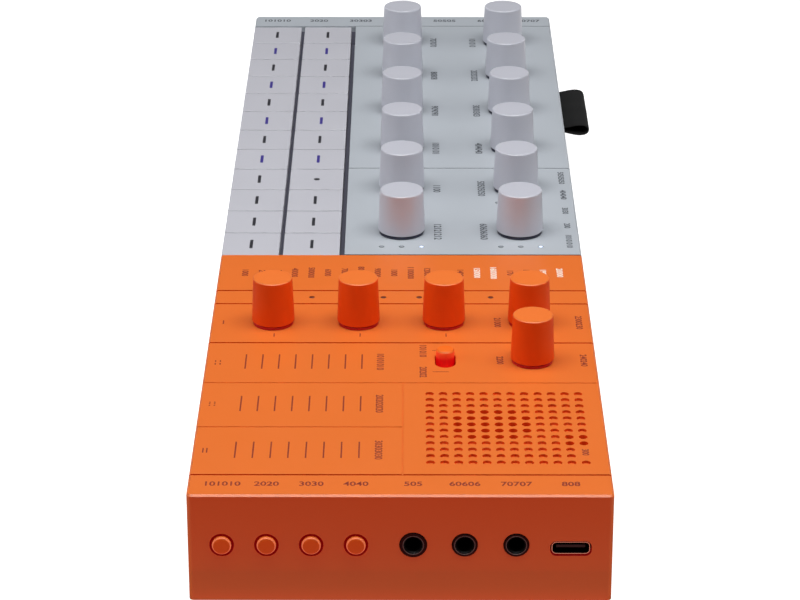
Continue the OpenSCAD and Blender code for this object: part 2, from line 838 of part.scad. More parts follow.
// Audio sockets: a body on the board, a sleeve in the end wall and one long bore
module jack_sockets() {
    body_x = right_x - wall - jack_gap;
    mouth = right_x + jack_proud;
    lead = jack_lead + small;
    color(black) for (i = [1:jack_count]) translate([0, jack_y(i), socket_z]) difference() {
        union() {
            translate([body_x - jack_deep, -jack_body_w / 2, -jack_half])
                cube([jack_deep, jack_body_w, 2 * jack_half]);
            translate([body_x - sleeve_root, 0, 0]) rotate([0, 90, 0])
                cylinder(r = sleeve_r(i), h = mouth - body_x + sleeve_root);
        }
        translate([mouth - jack_deep, 0, 0]) rotate([0, 90, 0])
            cylinder(r = jack_bore_r, h = jack_deep + cut);
        translate([mouth - jack_lead, 0, 0]) rotate([0, 90, 0])
            cylinder(r1 = jack_bore_r, r2 = jack_bore_r + lead, h = lead);
    }
}

// Power socket: a rounded steel shell with a back wall, a tongue inside and two feet
module usb_port() {
    mouth = right_x - port_inset;
    port_under = port_z - port_h / 2;
    color("silver") {
        along_x(mouth, port_mid_y, port_z, port_deep) difference() {
            port_outline(0);
            port_outline(-port_t);
        }
        along_x(mouth - port_deep + small, port_mid_y, port_z, port_back_t) port_outline(0);
        for (s = [-1, 1])
            translate([
                mouth - port_deep + port_foot_back,
                port_mid_y + s * port_foot_x - port_foot_t / 2,
                board_top
            ]) cube([port_foot_len, port_foot_t, port_under - board_top + port_foot_sink]);
    }
    color(black) translate([mouth - port_deep, port_mid_y - tongue_w / 2, port_z - tongue_t / 2])
        cube([port_deep - tongue_short, tongue_w, tongue_t]);
}

module speaker() {
    basket_top = panel_under - run_clear;
    color(black) translate([grille_mid, grille_mid_y, 0]) {
        difference() {
            translate([0, 0, basket_top - speaker_h]) cylinder(r = speaker_r, h = speaker_h);
            // cone
            translate([0, 0, basket_top - speaker_h + cone_floor])
                cylinder(r1 = cone_r, r2 = speaker_r - cone_rim, h = speaker_h - cone_floor + small);
        }
        translate([0, 0, board_top + magnet_gap])
            cylinder(r = magnet_r, h = basket_top - speaker_h - board_top - magnet_gap + small);
    }
}

module battery_pack() {
    color("dimgray") translate([battery_x - battery_len / 2, -battery_w / 2, base_top])
        cube([battery_len, battery_w, board_z - base_top - battery_clear]);
}

// Fabric tab: a folded ribbon whose loop stands out through a slot in the back wall
module fabric_loop() {
    end_r = tab_h / 2;
    end_y = back_y + tab_out - end_r;
    root_y = back_y + tab_root;
    color(black) translate([tab_mid - tab_w / 2, 0, tab_z]) rotate([90, 0, 90]) linear_extrude(tab_w) {
        difference() {
            hull() {
                translate([end_y, 0]) circle(r = end_r, $fn = 32);
                translate([root_y, -tab_t]) square([tab_crease, 2 * tab_t]);
            }
            hull() {
                translate([end_y, 0]) circle(r = end_r - tab_t, $fn = 32);
                translate([root_y + tab_pocket, -tab_crease / 4]) square([tab_crease, tab_crease / 2]);
            }
        }
        translate([back_y - wall - 1, -tab_t]) square([wall + 1 + tab_root + small, 2 * tab_t]);
        translate([back_y - wall - tab_slot_clear - tab_stop, -2 * tab_t]) square([tab_stop, 4 * tab_t]);
    }
}

module case_screws() {
    color("silver") for (p = bosses) translate([p[0], p[1], base_z + head_inset]) {
        difference() {
            cylinder(r = screw_head_r, h = screw_head_h - head_inset);
            // cross slot
            for (a = [0, 90]) rotate([0, 0, a]) cube([slot_len, slot_w, 2 * slot_deep], center = true);
        }
        translate([0, 0, slot_deep]) cylinder(r = screw_r, h = board_top - base_z + screw_grip - slot_deep);
    }
}

module rubber_feet() {
    color(black) for (x = [left_x + foot_x, 0, right_x - foot_x])
        translate([x - foot_w / 2, -foot_len / 2, 0]) cube([foot_w, foot_len, base_z]);
}

grey_upper_case();
orange_upper_case();
base_cover();
key_frame();
circuit_board();
knob_encoders();
speaker();
battery_pack();
jack_sockets();
usb_port();
fabric_loop();
case_screws();
rubber_feet();
master_knob();
slide_switch();
left_end_buttons();
for (i = [1:key_count]) {
    drum_key(i, front_y, front_key_d);
    drum_key(i, rear_key_y, rear_key_d);
}
for (i = [1:track_count]) {
    front_track_knob(i);
    rear_track_knob(i);
}
for (i = [1:effect_count])
    effect_knob(i);
for (i = [1:right_count])
    right_end_button(i);
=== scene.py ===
import math

import bmesh
import bpy
from mathutils import Matrix, Vector


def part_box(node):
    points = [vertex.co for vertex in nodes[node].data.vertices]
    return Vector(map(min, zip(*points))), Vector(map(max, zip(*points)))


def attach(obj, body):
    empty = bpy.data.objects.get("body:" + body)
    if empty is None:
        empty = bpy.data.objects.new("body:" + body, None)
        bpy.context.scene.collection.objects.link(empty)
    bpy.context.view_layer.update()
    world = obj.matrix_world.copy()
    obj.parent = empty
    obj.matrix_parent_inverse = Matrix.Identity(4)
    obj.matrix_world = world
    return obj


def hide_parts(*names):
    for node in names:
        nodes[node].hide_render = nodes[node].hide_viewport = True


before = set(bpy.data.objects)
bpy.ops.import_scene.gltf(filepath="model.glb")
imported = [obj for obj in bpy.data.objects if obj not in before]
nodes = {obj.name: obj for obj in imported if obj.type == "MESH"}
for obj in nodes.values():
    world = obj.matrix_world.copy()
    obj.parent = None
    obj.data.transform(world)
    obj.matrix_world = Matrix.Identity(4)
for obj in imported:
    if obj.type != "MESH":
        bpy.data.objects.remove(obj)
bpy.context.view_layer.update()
fullTurn = 2 * math.pi
quarterTurn = math.pi / 2

# Lengths in this script are millimetres. finishPiece brings each piece to metres.
# The camera, the lamps, the bump depths and the ribbon's weave are in metres.
perMetre = 1000
near = 0.02  # places this close count as one
sharpDeg = 32
weld = {"spin": 0.0005, "copy": 0.001, "flatDeg": 0.5}


# helpers for sizes, meshes and finishes

def boxOf(node):
    low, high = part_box(node)
    return low * perMetre, high * perMetre


def middleOf(node):
    low, high = boxOf(node)
    return (low + high) / 2


def numbered(stem, count):
    return [f"{stem}_{i}" for i in range(1, count + 1)]


# a screen colour, 0 to 255, as linear light
def tone(red, green, blue):
    shares = []
    for value in (red, green, blue):
        part = value / 255
        shares.append(part / 12.92 if part <= 0.04045 else ((part + 0.055) / 1.055) ** 2.4)
    return (*shares, 1)


def finishPiece(name, bm, materials, body, replaced=(), sharp=sharpDeg, evenShade=True):
    bmesh.ops.scale(bm, vec=[1 / perMetre] * 3, verts=bm.verts)
    mesh = bpy.data.meshes.new(name)
    bm.to_mesh(mesh)
    bm.free()
    for material in materials:
        mesh.materials.append(material)
    mesh.polygons.foreach_set("use_smooth", [True] * len(mesh.polygons))
    mesh.set_sharp_from_angle(angle=math.radians(sharp))
    piece = bpy.data.objects.new(name, mesh)
    bpy.context.scene.collection.objects.link(piece)
    if evenShade:
        piece.modifiers.new("evenShade", "WEIGHTED_NORMAL").keep_sharp = True
    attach(piece, body)
    if replaced:
        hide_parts(*replaced)
    return piece


def addBlock(bm, low, high, materialIndex=0):
    made = bmesh.ops.create_cube(bm, size=1)
    size = Vector(high) - Vector(low)
    middle = (Vector(high) + Vector(low)) / 2
    bmesh.ops.scale(bm, vec=size, verts=made["verts"])
    bmesh.ops.translate(bm, vec=middle, verts=made["verts"])
    paintFaces({f for v in made["verts"] for f in v.link_faces}, materialIndex)


def arc(centreR, centreZ, radius, startDeg, endDeg, steps):
    points = []
    for i in range(steps + 1):
        angle = math.radians(startDeg + (endDeg - startDeg) * i / steps)
        points.append((centreR + radius * math.cos(angle), centreZ + radius * math.sin(angle)))
    return points


def addSpin(bm, profile, place, steps, axis="Z", materialIndex=0):
    verts = [bm.verts.new((r, 0, z)) for r, z in profile]
    edges = [bm.edges.new(pair) for pair in zip(verts, verts[1:])]
    before = set(bm.faces)
    bmesh.ops.spin(bm, geom=verts + edges, cent=(0, 0, 0), axis=(0, 0, 1), dvec=(0, 0, 0),
                   angle=fullTurn, steps=steps, use_merge=True)
    faces = [f for f in bm.faces if f not in before]
    turned = list({v for f in faces for v in f.verts})
    bmesh.ops.remove_doubles(bm, verts=turned, dist=weld["spin"])
    faces = [f for f in bm.faces if f not in before]
    turned = list({v for f in faces for v in f.verts})
    if axis == "X":
        bmesh.ops.rotate(bm, cent=(0, 0, 0), matrix=Matrix.Rotation(quarterTurn, 3, "Y"), verts=turned)
    bmesh.ops.translate(bm, vec=place, verts=turned)
    bmesh.ops.recalc_face_normals(bm, faces=faces)
    paintFaces(faces, materialIndex)
    return faces


def copyOfNode(node):
    bm = bmesh.new()
    bm.from_mesh(nodes[node].data)
    bmesh.ops.scale(bm, vec=[perMetre] * 3, verts=bm.verts)
    bmesh.ops.remove_doubles(bm, verts=bm.verts, dist=weld["copy"])
    bmesh.ops.dissolve_limit(bm, angle_limit=math.radians(weld["flatDeg"]), use_dissolve_boundaries=False,
                             verts=bm.verts, edges=bm.edges, delimit=set())
    return bm


def bevelEdges(bm, edges, width, segments, clamp=False):
    return bmesh.ops.bevel(bm, geom=edges, offset=width, offset_type="OFFSET", affect="EDGES",
                           segments=segments, profile=0.5, material=-1, clamp_overlap=clamp)


def uprightEdges(bm, least):
    return [e for e in bm.edges if abs(e.verts[0].co.z - e.verts[1].co.z) > least]


def softenEdges(bm, width, segments):
    edges = []
    for edge in bm.edges:
        if len(edge.link_faces) == 2 and edge.calc_face_angle() >= math.radians(sharpDeg):
            edges.append(edge)
    bevelEdges(bm, edges, width, segments, clamp=True)


def paintFaces(faces, index):
    for face in faces:
        face.material_index = index


plasticLook = {"tint": (38, 3), "spread": 0.025, "wear": (160, 4), "wearRange": 0.05, "grain": (3600, 2)}
inkLook = {"tint": (2200, 2), "spread": 0.12, "roughness": 0.6}
windowOrGlowLook = {"tint": (900, 2), "spread": 0.06}
steelLook = {"stretch": (40, 900, 900), "streaks": (4, 3), "spread": 0.08, "smoother": 0.06, "rougher": 0.08,
             "depth": 0.000004}
ribbonLook = {"ribs": {"X": 0.42, "Y": 0.3}, "distortion": 0.25, "spread": 0.45, "depth": 0.00012,
              "roughness": 0.85, "sheen": 0.03, "sheenRoughness": 0.5, "specular": 0.25}


def newMaterial(name):
    material = bpy.data.materials.new(name)
    material.use_nodes = True
    tree = material.node_tree
    return material, tree, tree.nodes["Principled BSDF"]


def objectCoords(tree):
    return tree.nodes.new("ShaderNodeTexCoord").outputs["Object"]


def addNoise(tree, coords, scaleAndDetail):
    noise = tree.nodes.new("ShaderNodeTexNoise")
    noise.inputs["Scale"].default_value, noise.inputs["Detail"].default_value = scaleAndDetail
    tree.links.new(coords, noise.inputs["Vector"])
    return noise.outputs["Fac"]


def addRange(tree, value, low, high):
    spread = tree.nodes.new("ShaderNodeMapRange")
    spread.inputs["To Min"].default_value = low
    spread.inputs["To Max"].default_value = high
    tree.links.new(value, spread.inputs["Value"])
    return spread.outputs["Result"]


def addTint(tree, shader, value, colour, spread):
    mix = tree.nodes.new("ShaderNodeMix")
    mix.data_type = "RGBA"
    mix.inputs["A"].default_value = (*[c * (1 - spread) for c in colour[:3]], 1)
    mix.inputs["B"].default_value = (*[min(1, c * (1 + spread)) for c in colour[:3]], 1)
    tree.links.new(value, mix.inputs["Factor"])
    tree.links.new(mix.outputs["Result"], shader.inputs["Base Color"])


def addBump(tree, shader, value, depth):
    bump = tree.nodes.new("ShaderNodeBump")
    bump.inputs["Distance"].default_value = depth
    bump.inputs["Strength"].default_value = 1
    tree.links.new(value, bump.inputs["Height"])
    tree.links.new(bump.outputs["Normal"], shader.inputs["Normal"])


def mouldedPlastic(name, colour, roughness, grain=0.000006, specular=0.5):
    material, tree, shader = newMaterial(name)
    coords = objectCoords(tree)
    shader.inputs["Specular IOR Level"].default_value = specular
    addTint(tree, shader, addNoise(tree, coords, plasticLook["tint"]), colour, plasticLook["spread"])
    half = plasticLook["wearRange"]
    wear = addRange(tree, addNoise(tree, coords, plasticLook["wear"]), roughness - half, roughness + half)
    tree.links.new(wear, shader.inputs["Roughness"])
    addBump(tree, shader, addNoise(tree, coords, plasticLook["grain"]), grain)
    return material


def printInk(name, colour):
    material, tree, shader = newMaterial(name)
    addTint(tree, shader, addNoise(tree, objectCoords(tree), inkLook["tint"]), colour, inkLook["spread"])
    shader.inputs["Roughness"].default_value = inkLook["roughness"]
    return material


# a finish for light windows; with glow it is also painted light on parts that are no lamp
def windowOrPaintedGlow(name, colour, glow=None, strength=0.0, roughness=0.3, specular=0.5):
    material, tree, shader = newMaterial(name)
    speckle = addNoise(tree, objectCoords(tree), windowOrGlowLook["tint"])
    addTint(tree, shader, speckle, colour, windowOrGlowLook["spread"])
    shader.inputs["Roughness"].default_value = roughness
    shader.inputs["Specular IOR Level"].default_value = specular
    if glow:
        shader.inputs["Emission Color"].default_value = glow
        shader.inputs["Emission Strength"].default_value = strength
    return material


# painted shade and light: one colour low on the piece, another high on it, and the same colours glow
def paintedShadeRamp(name, lowColour, highColour, glow, roughness, lowZ, highZ):
    material, tree, shader = newMaterial(name)
    split = tree.nodes.new("ShaderNodeSeparateXYZ")
    tree.links.new(objectCoords(tree), split.inputs["Vector"])
    height = addRange(tree, split.outputs["Z"], 0, 1)
    height.node.inputs["From Min"].default_value = lowZ / perMetre
    height.node.inputs["From Max"].default_value = highZ / perMetre
    mix = tree.nodes.new("ShaderNodeMix")
    mix.data_type = "RGBA"
    mix.inputs["A"].default_value = lowColour
    mix.inputs["B"].default_value = highColour
    tree.links.new(height, mix.inputs["Factor"])
    tree.links.new(mix.outputs["Result"], shader.inputs["Base Color"])
    tree.links.new(mix.outputs["Result"], shader.inputs["Emission Color"])
    shader.inputs["Emission Strength"].default_value = glow
    shader.inputs["Roughness"].default_value = roughness
    return material


def brushedSteel(name, colour, roughness):
    material, tree, shader = newMaterial(name)
    stretch = tree.nodes.new("ShaderNodeMapping")
    stretch.inputs["Scale"].default_value = steelLook["stretch"]
    tree.links.new(objectCoords(tree), stretch.inputs["Vector"])
    streaks = addNoise(tree, stretch.outputs["Vector"], steelLook["streaks"])
    shader.inputs["Metallic"].default_value = 1
    addTint(tree, shader, streaks, colour, steelLook["spread"])
    wear = addRange(tree, streaks, roughness - steelLook["smoother"], roughness + steelLook["rougher"])
    tree.links.new(wear, shader.inputs["Roughness"])
    addBump(tree, shader, streaks, steelLook["depth"])
    return material


def wovenRibbon(name, colour, width, length):
    material, tree, shader = newMaterial(name)
    uv = tree.nodes.new("ShaderNodeUVMap").outputs["UV"]
    fit = tree.nodes.new("ShaderNodeMapping")
    fit.inputs["Scale"].default_value = (length, width, 1)
    tree.links.new(uv, fit.inputs["Vector"])
    ribs = []
    for direction, scale in ribbonLook["ribs"].items():
        wave = tree.nodes.new("ShaderNodeTexWave")
        wave.bands_direction = direction
        wave.inputs["Scale"].default_value = scale
        wave.inputs["Distortion"].default_value = ribbonLook["distortion"]
        wave.inputs["Detail"].default_value = 1
        tree.links.new(fit.outputs["Vector"], wave.inputs["Vector"])
        ribs.append(wave.outputs["Fac"])
    weave = tree.nodes.new("ShaderNodeMath")
    weave.operation = "MULTIPLY"
    for i in (0, 1):
        tree.links.new(ribs[i], weave.inputs[i])
    addTint(tree, shader, weave.outputs["Value"], colour, ribbonLook["spread"])
    addBump(tree, shader, weave.outputs["Value"], ribbonLook["depth"])
    shader.inputs["Roughness"].default_value = ribbonLook["roughness"]
    shader.inputs["Sheen Weight"].default_value = ribbonLook["sheen"]
    shader.inputs["Specular IOR Level"].default_value = ribbonLook["specular"]
    shader.inputs["Sheen Roughness"].default_value = ribbonLook["sheenRoughness"]
    return material


# finishes

finishes = {
    "orangeShell": mouldedPlastic("orangeShell", tone(230, 113, 38), 0.44),
    # painted shade: the knob's sides are a redder copy of the orange top
    "orangeKnobPaintedShade": mouldedPlastic("orangeKnobPaintedShade", tone(240, 82, 8), 0.46, specular=0.12),
    "orangeDisc": mouldedPlastic("orangeDisc", tone(238, 118, 42), 0.46),
    "orangeButton": mouldedPlastic("orangeButton", tone(240, 112, 36), 0.42, specular=0.15),
    # painted highlight: the band round a button's rim is lighter and glows
    "buttonRimPaintedHighlight": windowOrPaintedGlow("buttonRimPaintedHighlight", tone(250, 132, 64), tone(153, 90, 70), 0.75, 0.4, 0.16),
    # painted shade: a dark red finish that glows, for the shaded gaps round the end buttons
    "buttonGapPaintedShade": windowOrPaintedGlow("buttonGapPaintedShade", tone(90, 4, 3), tone(118, 3, 3), 0.8, 0.6, 0.1),
    # painted shade and light: the switch's side is dark red low down and lighter high up
    "switchSidePaintedShade": paintedShadeRamp("switchSidePaintedShade", tone(225, 2, 10), tone(250, 100, 36), glow=0.3, roughness=0.42,
                               lowZ=27.5, highZ=30.4),
    "greyShell": mouldedPlastic("greyShell", tone(181, 187, 194), 0.44),
    "greyKey": mouldedPlastic("greyKey", tone(194, 194, 202), 0.46),
    "greyKnob": mouldedPlastic("greyKnob", tone(197, 198, 208), 0.36),
    "darkCollar": mouldedPlastic("darkCollar", tone(34, 36, 60), 0.3),
    "redCollar": mouldedPlastic("redCollar", tone(206, 14, 10), 0.45, specular=0.3),
    # painted shade in the orange case's grooves, end holes and the wall at the seam
    "orangePaintedShade": mouldedPlastic("orangePaintedShade", tone(216, 70, 8), 0.6, specular=0.1),
    # painted glow: the walls deep in the open grille holes are red and glow
    "holeWallPaintedGlow": windowOrPaintedGlow("holeWallPaintedGlow", tone(192, 46, 8), tone(150, 36, 6), 0.6, 0.6, 0.0),
    # painted shade in the grey case's recesses, the wall at the seam and the gaps behind the left buttons
    "greyPaintedShade": mouldedPlastic("greyPaintedShade", tone(96, 100, 112), 0.6, specular=0.2),
    # painted light: the key frame, seen in the gaps between the key rows, is lighter and glows
    "keyFramePaintedGlow": windowOrPaintedGlow("keyFramePaintedGlow", tone(98, 98, 110), tone(60, 60, 70), 0.8, 0.6),
    "blackPlastic": mouldedPlastic("blackPlastic", tone(26, 26, 29), 0.5),
    "socketLip": mouldedPlastic("socketLip", tone(92, 88, 84), 0.4),
    # painted shade: the front faces of the audio sockets are dark red
    "socketRimPaintedShade": mouldedPlastic("socketRimPaintedShade", tone(46, 7, 5), 0.5, specular=0.1),
    # painted highlight: the port's front rim is pale and glows
    "portRimPaintedGlow": windowOrPaintedGlow("portRimPaintedGlow", tone(250, 222, 200), tone(160, 90, 62), 0.9, 0.4),
    "socketPlastic": mouldedPlastic("socketPlastic", tone(10, 10, 11), 0.5, specular=0.04),
    "boardMask": mouldedPlastic("boardMask", tone(20, 92, 58), 0.35),
    "cellWrap": mouldedPlastic("cellWrap", tone(62, 66, 72), 0.4),
    "rubber": mouldedPlastic("rubber", tone(30, 30, 32), 0.78, grain=0.00002),
    "paperCone": mouldedPlastic("paperCone", tone(22, 22, 23), 0.8, grain=0.00003),
    "steel": brushedSteel("steel", tone(196, 196, 200), 0.3),
    "contactGold": brushedSteel("contactGold", tone(214, 176, 92), 0.3),
    "darkInk": printInk("darkInk", tone(132, 34, 6)),
    "greyInk": printInk("greyInk", tone(70, 74, 82)),
    "whiteInk": printInk("whiteInk", tone(250, 238, 226)),
    "markDark": windowOrPaintedGlow("markDark", tone(54, 54, 60)),
    "markLit": windowOrPaintedGlow("markLit", tone(62, 52, 128), tone(70, 58, 170), 0.15),
    "lensDark": windowOrPaintedGlow("lensDark", tone(118, 32, 10)),
    "lensGrey": windowOrPaintedGlow("lensGrey", tone(138, 142, 150)),
    "lensLit": windowOrPaintedGlow("lensLit", tone(225, 232, 255), tone(190, 212, 255), 0.55),
}
print("finishes made:", len(finishes))


# camera, light and floor

camera = {"place": (0.76883, 0.00142, 0.33866), "down": 23.763, "turn": -0.142, "lens": 133.79,
          "nearest": 0.01, "farthest": 20}
# a lamp without an aim points straight up, one without a tint is white
lamps = {
    "overhead": {"place": (0.12, 0.035, 0.75), "aim": (0.12, 0.035, 0), "size": (0.4, 0.9), "power": 6.1},
    "leftSide": {"place": (0.05, -0.9, 0.40), "aim": (0, 0, 0), "size": (1.0, 0.5), "power": 2.6},
    "rightSide": {"place": (0.05, 0.9, 0.40), "aim": (0, 0, 0), "size": (1.0, 0.5), "power": 2.0},
    "tableGlow": {"place": (0.33, 0, 0.001), "size": (0.3, 0.24), "power": 0.156, "tint": (1, 0.06, 0.05)},
    "tableBounce": {"place": (0.1868, 0, 0.0001), "size": (0.03, 0.3), "power": 0.0084,
                    "tint": (0.72, 1, 0.95)},
    "tableEdge": {"place": (0.17365, 0, 0.0001), "size": (0.0037, 0.3), "power": 0.003,
                  "tint": (1, 0.1, 0.1)},
    "tableLeft": {"place": (0, -0.35, 0.001), "size": (0.6, 0.5), "power": 0.47},
    "tableRight": {"place": (0, 0.35, 0.001), "size": (0.6, 0.5), "power": 0.47},
    "tableFar": {"place": (-0.45, 0, 0.001), "size": (0.5, 0.6), "power": 0.9},
    "edgeShine": {"place": (0.49, 0, 0.75), "aim": (0.17, 0, 0.03), "size": (0.9, 0.35), "power": 9,
                  "shineOnly": True},
}
studio = {"around": 0.06, "seen": 1.0}
floorTone = {"colour": (0.5, 0.5, 0.5, 1), "glow": 0.93, "roughness": 0.9, "halfSize": 4}


def makeCamera():
    lens = bpy.data.cameras.new("camera")
    lens.lens = camera["lens"]
    lens.clip_start = camera["nearest"]
    lens.clip_end = camera["farthest"]
    eye = bpy.data.objects.new("camera", lens)
    eye.location = camera["place"]
    eye.rotation_euler = (math.radians(90 - camera["down"]), 0, math.radians(90 - camera["turn"]))
    bpy.context.scene.collection.objects.link(eye)
    bpy.context.scene.camera = eye


def makeLamps():
    for name, lamp in lamps.items():
        light = bpy.data.lights.new(name, "AREA")
        light.shape = "RECTANGLE"
        light.size, light.size_y = lamp["size"]
        light.energy = lamp["power"]
        light.color = lamp.get("tint", (1, 1, 1))
        stand = bpy.data.objects.new(name, light)
        stand.location = lamp["place"]
        aim = Vector(lamp["aim"]) - Vector(lamp["place"]) if "aim" in lamp else Vector((0, 0, 1))
        stand.rotation_euler = aim.to_track_quat("-Z", "Y").to_euler()
        stand.visible_camera = False
        stand.visible_diffuse = not lamp.get("shineOnly", False)
        bpy.context.scene.collection.objects.link(stand)


def makeStudio():
    # dim for the light that falls on the unit, plain white for the camera itself
    world = bpy.data.worlds.new("studio")
    world.use_nodes = True
    tree = world.node_tree
    strength = tree.nodes.new("ShaderNodeMapRange")
    strength.inputs["To Min"].default_value = studio["around"]
    strength.inputs["To Max"].default_value = studio["seen"]
    tree.links.new(tree.nodes.new("ShaderNodeLightPath").outputs["Is Camera Ray"], strength.inputs["Value"])
    tree.links.new(strength.outputs["Result"], tree.nodes["Background"].inputs["Strength"])
    tree.nodes["Background"].inputs["Color"].default_value = (1, 1, 1, 1)
    bpy.context.scene.world = world
    bpy.context.scene.view_settings.view_transform = "Standard"


def makeFloor():
    bm = bmesh.new()
    bmesh.ops.create_grid(bm, x_segments=2, y_segments=2, size=floorTone["halfSize"])
    mesh = bpy.data.meshes.new("floor")
    bm.to_mesh(mesh)
    bm.free()
    material, tree, shader = newMaterial("paleFloor")
    shader.inputs["Base Color"].default_value = floorTone["colour"]
    shader.inputs["Roughness"].default_value = floorTone["roughness"]
    shader.inputs["Emission Color"].default_value = (1, 1, 1, 1)
    shader.inputs["Emission Strength"].default_value = floorTone["glow"]
    mesh.materials.append(material)
    floor = bpy.data.objects.new("floor", mesh)
    bpy.context.scene.collection.objects.link(floor)
    floor.visible_diffuse = False
    floor.visible_glossy = False


makeCamera()
makeLamps()
makeStudio()
makeFloor()
print("camera, light and floor made")


# places that several pieces share

greyLow, greyHigh = boxOf("grey_upper_case")
orangeLow, orangeHigh = boxOf("orange_upper_case")
caseTop = greyHigh.z
rightX = orangeHigh.x
leftX = greyLow.x
backY = orangeHigh.y
seamX = (greyHigh.x + orangeLow.x) / 2
collarTop = boxOf("knob_encoders")[1].z
knobFoot = collarTop + 0.3
effectX = middleOf("effect_knob_1").x
trackKnobs = numbered("front_track_knob", 6) + numbered("rear_track_knob", 6)
effectKnobs = numbered("effect_knob", 4) + ["master_knob"]
frontKeys = numbered("front_key", 12)
rearKeys = numbered("rear_key", 12)


# the two upper cases, the base, its screws and feet

caseSoft = {"lip": 0.3, "lipSteps": 3, "lipReach": 0.6, "lipAngle": 0.5, "width": 0.14, "steps": 2,
            "groove": 0.4, "wall": 1.95}
recess = {"faint": 0.12, "endHalf": 46, "endFrom": 8, "endTo": 18, "buttonsTo": -4, "portFrom": 32,
          "seam": 0.5}
facing = {"along": 0.9, "across": 0.2, "plumb": 0.1}
# caseFaces and the other Faces tables hold places in a piece's list of finishes
# in caseFaces, recess and gap hold painted shade and hole a painted glow
caseFaces = {"recess": 1, "hole": 2, "gap": 3}
grilleZone = {"from": 60, "depth": 0.9, "blind": 0.3, "deeper": 0.35}
grooveWall = {"length": 3, "deep": 0.35, "deepest": 0.5, "wider": 0.12}
seamGap = 0.2
seamSide = 1  # the grey case keeps a crisp edge this close to the seam
buttonRim = {"width": 0.06, "steps": 2, "reach": 2.9, "deep": 3, "wider": 0.1, "lower": 0.06}
softPlain = {"rubberFeet": (0.25, 2), "caseScrews": (0.08, 1)}


# paints shade: walls and floors of grooves, walls of end holes and the wall at the seam get darker finishes,
# the deep grille hole walls a painted glow and some end-hole walls the painted gap shade
def paintRecessShade(bm, low, high):
    bm.normal_update()
    for face in bm.faces:
        centre, normal = face.calc_center_median(), face.normal
        inward = min(centre.x - low.x, high.x - centre.x, centre.y - low.y, high.y - centre.y)
        depth = caseTop - centre.z
        inPanel = inward > near and recess["faint"] < depth < caseSoft["wall"]
        inEnd = (near < inward < caseSoft["wall"] and abs(centre.y) < recess["endHalf"]
                 and recess["endFrom"] < depth < recess["endTo"])
        panelWall = inPanel and abs(normal.z) < facing["across"]
        grooveFloor = inPanel and normal.z > facing["along"] and abs(depth - caseSoft["groove"]) < near
        endWall = inEnd and abs(normal.x) < facing["across"]
        seamWall = normal.x > facing["along"] and 0 < seamX - centre.x < recess["seam"]
        if panelWall or grooveFloor or endWall or seamWall:
            face.material_index = caseFaces["recess"]
        if panelWall and depth > grilleZone["depth"] and centre.x > rightX - grilleZone["from"]:
            face.material_index = caseFaces["hole"]
        if endWall and centre.x > 0 and not recess["buttonsTo"] <= centre.y <= recess["portFrom"]:
            face.material_index = caseFaces["gap"]


def widenGrooves(bm):
    moves = {}
    for face in bm.faces:
        first = face.verts[0].co
        length = max(abs(v.co.x - first.x) + abs(v.co.y - first.y) for v in face.verts)
        depth = caseTop - min(v.co.z for v in face.verts)
        upright = abs(face.normal.z) < facing["plumb"]
        if upright and length > grooveWall["length"] and grooveWall["deep"] < depth < grooveWall["deepest"]:
            for vert in face.verts:
                moves.setdefault(vert, set()).add(tuple(round(n) for n in face.normal))
    for vert, normals in moves.items():
        for normal in normals:
            vert.co -= Vector(normal) * grooveWall["wider"]


def deepenBlindHoles(bm):
    floors = set()
    for face in bm.faces:
        depth = caseTop - face.calc_center_median().z
        if face.normal.z > facing["along"] and abs(depth - grilleZone["blind"]) < near:
            floors.update(face.verts)
    for vert in floors:
        vert.co.z -= grilleZone["deeper"]


# the rounded edge of each button hole gets the painted shade of the gap; the hole is also made wider, more so
# below
def roundButtonHoles(bm):
    places = [middleOf(node) for node in numbered("right_end_button", 4)]
    for vert in bm.verts:
        for p in places:
            away = Vector((0, vert.co.y - p.y, vert.co.z - p.z))
            if away.length < buttonRim["reach"] and vert.co.x > rightX - buttonRim["deep"]:
                vert.co += away.normalized() * buttonRim["wider"]
                vert.co.z += min(0, away.z) * buttonRim["lower"]
    edges = []
    for edge in bm.edges:
        middle = (edge.verts[0].co + edge.verts[1].co) / 2
        distance = min(math.hypot(middle.y - p.y, middle.z - p.z) for p in places)
        if distance < buttonRim["reach"] and all(abs(v.co.x - rightX) < near for v in edge.verts):
            edges.append(edge)
    made = bevelEdges(bm, edges, buttonRim["width"], buttonRim["steps"], clamp=True)
    paintFaces(made["faces"], caseFaces["gap"])


def roundLips(bm, low, high):
    edges = []
    for edge in bm.edges:
        if len(edge.link_faces) != 2 or edge.calc_face_angle() < caseSoft["lipAngle"]:
            continue
        middle = (edge.verts[0].co + edge.verts[1].co) / 2
        across = abs(edge.verts[0].co.z - edge.verts[1].co.z) < near
        inward = min(middle.x - low.x, high.x - middle.x, middle.y - low.y, high.y - middle.y)
        onRim = max(inward, caseTop - middle.z) < caseSoft["lipReach"]
        if across and onRim and not 0 < seamX - middle.x < seamSide:
            edges.append(edge)
    bevelEdges(bm, edges, caseSoft["lip"], caseSoft["lipSteps"], clamp=True)


